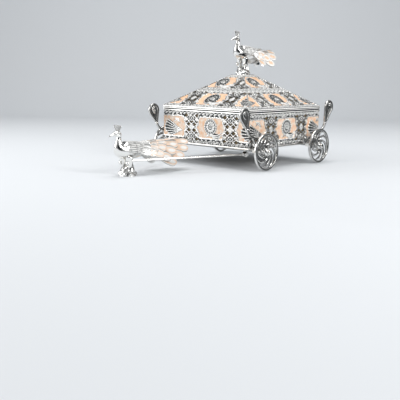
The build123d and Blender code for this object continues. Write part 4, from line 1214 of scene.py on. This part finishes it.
def pedestal_shells(foot, size):
    """A lathe profile whose radius swells by sums of cosines into rocks, and on each hand a leg, a
    round column, with a curl and a bead before it."""
    turn = np.arange(96)[None] * 2 * pi / 96
    z = FOOT[:, 1:2]
    rocks = 0.55 * np.cos(7 * turn + 0.5 * z) + 0.4 * np.cos(11 * turn - 0.9 * z + 1)
    rocks = rocks + 0.3 * np.cos(4 * turn + 0.7 * z)
    radius = FOOT[:, 0:1] * (1 + 0.075 * rocks * np.clip(z / 2, 0, 1))
    base = np.stack([radius * np.cos(turn), radius * np.sin(turn), z + 0 * turn], -1)
    dark = np.clip(-0.5 * rocks, 0, 0.5) * (z > 1)
    made = [shell(foot + base * size, around=True, caps=(True, True), dark=dark)]
    t, s = np.linspace(0, 1, 18), np.linspace(0, 1, 22)
    for hand in (-1, 1):
        leg = np.stack([hand * (6.2 - 0.8 * t), 0.6 * np.sin(2 * pi * t) - 1.5 * t, 5.5 + 18.5 * t], 1)
        thick = 4.5 - 0.9 * np.sin(pi * t) + 1.0 * t ** 4 + 0.9 * (1 - t) ** 4
        made.append(sweep(foot + leg * size, thick * size, thick * size, LEVEL, 22))
        reach, roll = 4.0 - 2.8 * s, 1.2 - 5.2 * s
        eye = np.array((6.8 * hand, -4.8, 16.8))
        curl = eye + np.stack([0 * s, reach * np.cos(roll), reach * np.sin(roll)], 1)
        made.append(sweep(foot + curl * size, 1.9 * size, (1.6 - 0.6 * s) * size, LEVEL, 12))
        made.append(ball(foot + eye * size, 1.8 * size, 10))
    return made


print("the rock is", 2 * FOOT[:, 0].max(), "mm wide before its waves")

# %% [markdown]
# ### The train
# The tail is four rows of spoon feathers and a row of small bare coverts over a thin core. Each feather has a
# slim shaft that widens to a round end, a raised silver rim painted white as a highlight, peach enamel inside
# it, a white almond for the eye and painted shade along its edge. The rows overlap like tiles, the upper ones
# shorter. One feather could be copied and turned, but each is bent to the fan's own surface here, so that none
# floats.

# %% Feathers
RIM_AT, RIM_WIDTH, RIB_WIDTH = 0.8, 0.11, 0.12      # shares of the half width


def feather_shell(root, tip, width, normal, tint, colours, sag):
    """One feather. Its half width grows from 0.42 of the full one to all of it, then closes as a half
    circle; its top has a rim at 0.8 of the half width and a rib. tint scales the enamel that is laid
    inside the rim, and colours are its peach share, its white share and how white the almond is."""
    length = np.linalg.norm(tip - root)
    along = (tip - root) / length
    normal = normal - along * (normal @ along)
    normal /= np.linalg.norm(normal)
    across = np.cross(along, normal)
    close = 0.62 * width / length
    end = 1 - close + close * np.sin(np.linspace(0.1, 0.97, 12) * pi / 2)
    a = np.concatenate([np.linspace(0, 1 - close, 26), end])[:, None]
    grow = np.clip((a - 0.08) / 0.62, 0, 1)
    half = width / 2 * (0.42 + 0.58 * grow * grow * (3 - 2 * grow))
    half = half * np.sqrt(np.clip(1 - (np.clip(a - 1 + close, 0, 1) / close) ** 2, 0.003, 1))
    turn = np.arange(28)[None] * 2 * pi / 28
    b, top = np.cos(turn), np.sin(turn) > -0.01
    rim = np.exp(-((np.abs(b) - RIM_AT) / RIM_WIDTH) ** 2)
    rib = np.exp(-(b / RIB_WIDTH) ** 2)
    barbs = 0.5 + 0.5 * np.cos(a * length * 1.9 * tint - np.abs(b) * (12.0 - 7.0 * tint))
    relief = np.where(top, 0.25 + 0.4 * rim + 0.25 * rib + 0.14 * barbs, -0.55)
    swell = relief * np.sqrt(np.clip(1.04 - b ** 2, 0, 1)) - sag * 4 * a * (1 - a)
    points = root + along * (a * length)[..., None] + across * (half * b)[..., None] + normal * swell[..., None]
    inside = np.clip((0.78 - np.abs(b)) * 9, 0, 1) * top * tint
    almond = np.clip(1.6 * (1 - ((a - 1 + 0.95 * close) / (0.9 * close)) ** 2 - (b / 0.5) ** 2), 0, 1) * inside
    peach, white, eye = colours
    white_and_highlight = white * inside * (0.75 + 0.25 * barbs) * (1 - almond) + eye * almond
    # painted highlight: the raised rim, and the barbs of the bare coverts, are painted white
    white_and_highlight = np.maximum(white_and_highlight, np.maximum(0.55 * barbs * (1 - tint), 0.8 * rim) * top)
    # painted shade along the feather's edge, where the next feather meets it, and dark in the grooves between
    # the coverts' barbs
    edge = np.maximum(0.45 * (1 - barbs) * (1 - tint), np.clip((np.abs(b) - 0.88) * 12, 0, 0.85)) * top
    return shell(points, around=True, caps=(True, True), enamel=np.maximum(peach * inside, almond * (1 - eye)),
                 white=white_and_highlight, dark=edge)


print("the raised rim is", 2 * RIM_WIDTH, "of a feather's half width")


# %% Rows of feathers on a fan
# feathers in the row, breadth, where they start and stop, how high they lie, width and enamel
ROWS = (
    (8, 1.0, 0.30, 1.00, 0.0, 1.0, 1.0), (7, 0.88, 0.14, 0.74, 1.0, 1.0, 1.0),
    (6, 0.80, 0.02, 0.50, 1.8, 0.95, 0.9), (7, 0.82, -0.08, 0.32, 2.3, 0.85, 0.7),
    (8, 0.84, -0.16, 0.16, 2.8, 0.7, 0.0),
)


def train_shells(foot, size, tips, width, sag, colours):
    """The fan is a surface between a rump arch and the line of the tips, for s from -1 to 1 across it,
    that sags by sag. Each feather lies on it from one share of its length to another, lifted row by
    row, and faces out by 81 degrees * |s| ** 0.32 from upright. colours are peach, white and eye shares."""
    tips = np.array(tips, float)
    places = np.linspace(0, 1, len(tips))

    def outward(across):
        """The way a feather faces: upright, leant sideways by 81 degrees * |s| ** 0.32."""
        lean = np.sign(across) * 1.42 * np.abs(across) ** 0.32
        return np.stack([np.sin(lean), 0 * lean, np.cos(lean)], -1)

    def spot(across, along, lift):
        """Points of the fan: rump + (tip - rump) * along + outward * (lift - sag * sin(pi * along))."""
        across, along, lift = np.broadcast_arrays(across, along, lift)
        a = np.abs(across)
        rump = np.stack([9.6 * np.sin(1.5 * across), 20.0 - 3.0 * a, 28.5 + 9.0 * np.cos(1.9 * a)], -1) * size
        far = np.stack([np.interp(a, places, tips[:, k]) for k in (0, 1, 2)], -1)
        far[..., 0] *= np.where(across < 0, -1.0, 1.0)
        raised = lift - sag * np.sin(pi * along)
        return rump + (far - rump) * along[..., None] + outward(across) * raised[..., None]

    made = []
    for count, breadth, start, stop, lift, broad, tint in ROWS:
        for across in np.linspace(-breadth, breadth, count):
            root = foot + spot(across * 0.9, start, 0.5 * lift * size)
            tip = foot + spot(across, stop, lift * size)
            made.append(feather_shell(root, tip, width * broad, outward(across), tint, colours, 0.5 * size))
    across = np.concatenate([np.linspace(-0.95, 0.95, 25), np.linspace(0.95, -0.95, 25)])
    sink = np.repeat([-0.6, -2.2], 25)
    core = spot(across, np.linspace(-0.02, 0.74, 12)[:, None], sink)
    made.append(shell(foot + core, around=True, caps=(True, True), white=0.6))
    return made


print("feathers in a train:", sum(row[0] for row in ROWS))

# %% [markdown]
# ### The two birds
# The finial stands on the crown and the other bird stands before the box on the table. Their trains
# differ: the lead bird's is long and peach and reaches back over the draw rods, while the finial's is
# shorter and paler. The tips are points on half of each fan, in millimetres from the bird's foot, and
# the other half mirrors them.

# %% The two birds
LEAD_FOOT = np.array((0.0, CART_Y - 223.2, 0.0))
FINIAL_FOOT = np.array((0.0, CART_Y, 125.9))
FINIAL_SIZE = 61.5 / 64.5
for name, foot, size, body in (
    ("lead", LEAD_FOOT, 1.0, "draw_gear"), ("finial", FINIAL_FOOT, FINIAL_SIZE, "lid"),
):
    eyes = [ball(foot + np.array((hand * 3.5, -17.9, 54.2)) * size, 0.8 * size, 8) for hand in (-1, 1)]
    for piece, shells in (
        ("peacock", [body_shell(foot, size)] + eyes), ("crest", [crest_shell(foot, size)]),
        ("pedestal", pedestal_shells(foot, size)),
    ):
        build(f"cast_{name}_{piece}", shells, for_roof, body, [f"{name}_{piece}"])

# %% Their trains
LEAD_TIPS = ((0, 105.6, 40.6), (9.5, 100.4, 31.7), (16.0, 87.6, 21.2), (20.0, 67.2, 11.8))
FINIAL_TIPS = ((0, 70.0, 35.0), (6.0, 70.0, 30.5), (11.5, 65.0, 24.0), (15.0, 55.0, 13.5), (18.0, 30.0, 14.0))
lead_train = train_shells(LEAD_FOOT, 1.0, LEAD_TIPS, 12.8, -1.5, (0.95, 0.2, 1.0))
build("enamelled_lead_train", lead_train, for_feathers, "draw_gear", ["lead_train"])
# the finial's white share of 0.85 is partly pale enamel and partly a painted highlight for the light on its
# train
finial_train = train_shells(FINIAL_FOOT, FINIAL_SIZE, FINIAL_TIPS, 12.6, 2.0, (0.5, 0.85, 0.0))
build("enamelled_finial_train", finial_train, for_feathers, "lid", ["finial_train"])

# %% [markdown]
# ## Studio
# The box stands on a pale floor that curves up into the backdrop, so no horizon cuts the picture.
# One sheet of paper does it in a real studio, and one bent grid does it here.

# %% Floor and backdrop
ANGLE = radians(42.74)              # the camera looks along the floor at this angle from the front
view_way = np.array((-sin(ANGLE), cos(ANGLE), 0.0))
level_way = np.array((cos(ANGLE), sin(ANGLE), 0.0))
HALF_WIDTH = 2.2                    # metres, as all in this studio
paper = plain("matt backdrop paper", "#dde0e3", 0.0, 0.9)
bend = np.linspace(0, 1, 40) * pi / 2
depth = np.concatenate([[-2.2, 1.0], 1.0 + 0.5 * np.sin(bend), [1.5]])[:, None]
height = np.concatenate([[0, 0], 0.5 * (1 - np.cos(bend)), [2.6]])[:, None]
middle = view_way * depth + UP * height
edges = np.stack([middle - level_way * HALF_WIDTH, middle + level_way * HALF_WIDTH], 1).reshape(-1, 3)
first = 2 * np.arange(len(middle) - 1)
mesh = bpy.data.meshes.new("backdrop")
mesh.from_pydata(edges.tolist(), [], np.stack([first, first + 1, first + 3, first + 2], -1).tolist())
mesh.materials.append(paper)
mesh.polygons.foreach_set("use_smooth", np.ones(len(mesh.polygons), bool))
backdrop = bpy.data.objects.new("backdrop", mesh)
bpy.context.scene.collection.objects.link(backdrop)
print("backdrop:", len(mesh.polygons), "faces")

# %% [markdown]
# ### Cards and soft boxes
# Polished silver only shows its form when it has something dark to mirror, so black cards stand
# outside the picture, as in a product studio, with soft boxes between them. Camera, shadow and
# diffuse rays pass the cards by: only reflections show them, and no view is blocked by one.

# %% Dark cards
card = plain("dark flocked card", "#141b20", 0.0, 0.9)


def quad(name, corners, finish):
    """A flat card from four corners in metres that only reflections show."""
    mesh = bpy.data.meshes.new(name)
    mesh.from_pydata(corners, [], [(0, 1, 2, 3)])
    mesh.materials.append(finish)
    made = bpy.data.objects.new(name, mesh)
    bpy.context.scene.collection.objects.link(made)
    made.visible_camera = made.visible_shadow = made.visible_diffuse = False


def standing_card(name, middle, way, half, high):
    """A card that stands on the floor around middle and whose width runs along way."""
    a, b = middle - way * half, middle + way * half
    quad(name, [tuple(a), tuple(b), tuple(b + UP * high), tuple(a + UP * high)], card)


def lying_card(name, near, far, half, height):
    """A level card overhead, from near to far along the view and half to each side."""
    places = ((near, -half), (near, half), (far, half), (far, -half))
    quad(name, [tuple(view_way * d + level_way * side + UP * height) for d, side in places], card)


on_floor = ((0.16, -0.22, 0.002), (0.75, -0.12, 0.002), (0.75, 0.75, 0.002), (0.16, 0.75, 0.002))
quad("card_on_floor", on_floor, card)
for name, middle, way, half, high in (
    ("card_behind_camera", -view_way * 1.5, level_way, 0.6, 0.8),
    ("card_right", level_way * 0.37 + view_way * 0.22, view_way + level_way * 0.302, 0.32, 0.12),
    ("card_left", -level_way * 0.9 + view_way * 0.55, view_way * 0.9 - level_way * 0.4, 0.25, 0.5),
):
    standing_card(name, middle, way, half, high)
lying_card("card_above", 0.74, 1.45, 1.2, 1.3)


# %% Soft boxes
def placed(x_axis, y_axis, z_axis, place):
    """The matrix that turns an object's own axes to these three and moves it to place."""
    return Matrix([*np.column_stack([x_axis, y_axis, z_axis, place]).tolist(), (0, 0, 0, 1)])


AIM = np.array((0.0, 0.05, 0.07))   # all lamps look at the box's middle


def soft_box(name, place, size, watts):
    """An area lamp, width by height in metres, whose -z axis points from place to AIM."""
    lamp = bpy.data.lights.new(name, "AREA")
    lamp.shape, lamp.size, lamp.size_y, lamp.energy = "RECTANGLE", size[0], size[1], watts
    made = bpy.data.objects.new(name, lamp)
    look = AIM - place
    look /= np.linalg.norm(look)
    side = np.cross(look, UP)
    side /= np.linalg.norm(side)
    made.matrix_world = placed(side, np.cross(side, look), -look, place)
    bpy.context.scene.collection.objects.link(made)
    print(f"{name}: {watts} W, {np.linalg.norm(place - AIM):.2f} m away")


soft_box("soft_box_left", -level_way * 1.1 - view_way * 0.15 + UP * 0.5, (0.9, 0.8), 8.0)
soft_box("soft_box_right", level_way * 0.9 - view_way * 0.9 + UP * 0.75, (0.3, 0.6), 9.0)
soft_box("soft_box_far_right", np.array((0.66, 0.92, 0.50)), (0.5, 0.45), 1.5)
soft_box("soft_box_top", view_way * 0.1 + UP * 1.3, (0.9, 0.8), 9.0)

# %% [markdown]
# ### Room light and camera
# An even glow stands for the room round the studio. The camera's direction, tilt and lens were
# fitted to the box's edges and wheels, so that the render can be laid over the picture of the real
# box. A camera looks along its own -z axis, so its axes are worked out first: back, right and over.

# %% World and camera
world = bpy.data.worlds.new("room")
world.use_nodes = True
world.node_tree.nodes.clear()
glow = add(world.node_tree, "ShaderNodeBackground", {"Color": linear("#e4e6e8"), "Strength": 0.42})
add(world.node_tree, "ShaderNodeOutputWorld", {"Surface": glow.outputs[0]})
bpy.context.scene.world = world

ELEVATION, ROLL = radians(10.70), radians(0.631)
CAMERA_PLACE = (0.62384, -0.69381, 0.12470)
back = -view_way * cos(ELEVATION) + UP * sin(ELEVATION)
rise = np.cross(back, level_way)
right = level_way * cos(ROLL) + rise * sin(ROLL)
over = rise * cos(ROLL) - level_way * sin(ROLL)
lens = bpy.data.cameras.new("photo")
lens.lens, lens.sensor_width = 59.625, 36.0
camera = bpy.data.objects.new("photo", lens)
camera.matrix_world = placed(right, over, back, CAMERA_PLACE)
bpy.context.scene.collection.objects.link(camera)
bpy.context.scene.camera = camera
bpy.context.scene.view_settings.view_transform = "Standard"
print("camera:", round(lens.lens, 2), "mm lens at", CAMERA_PLACE)
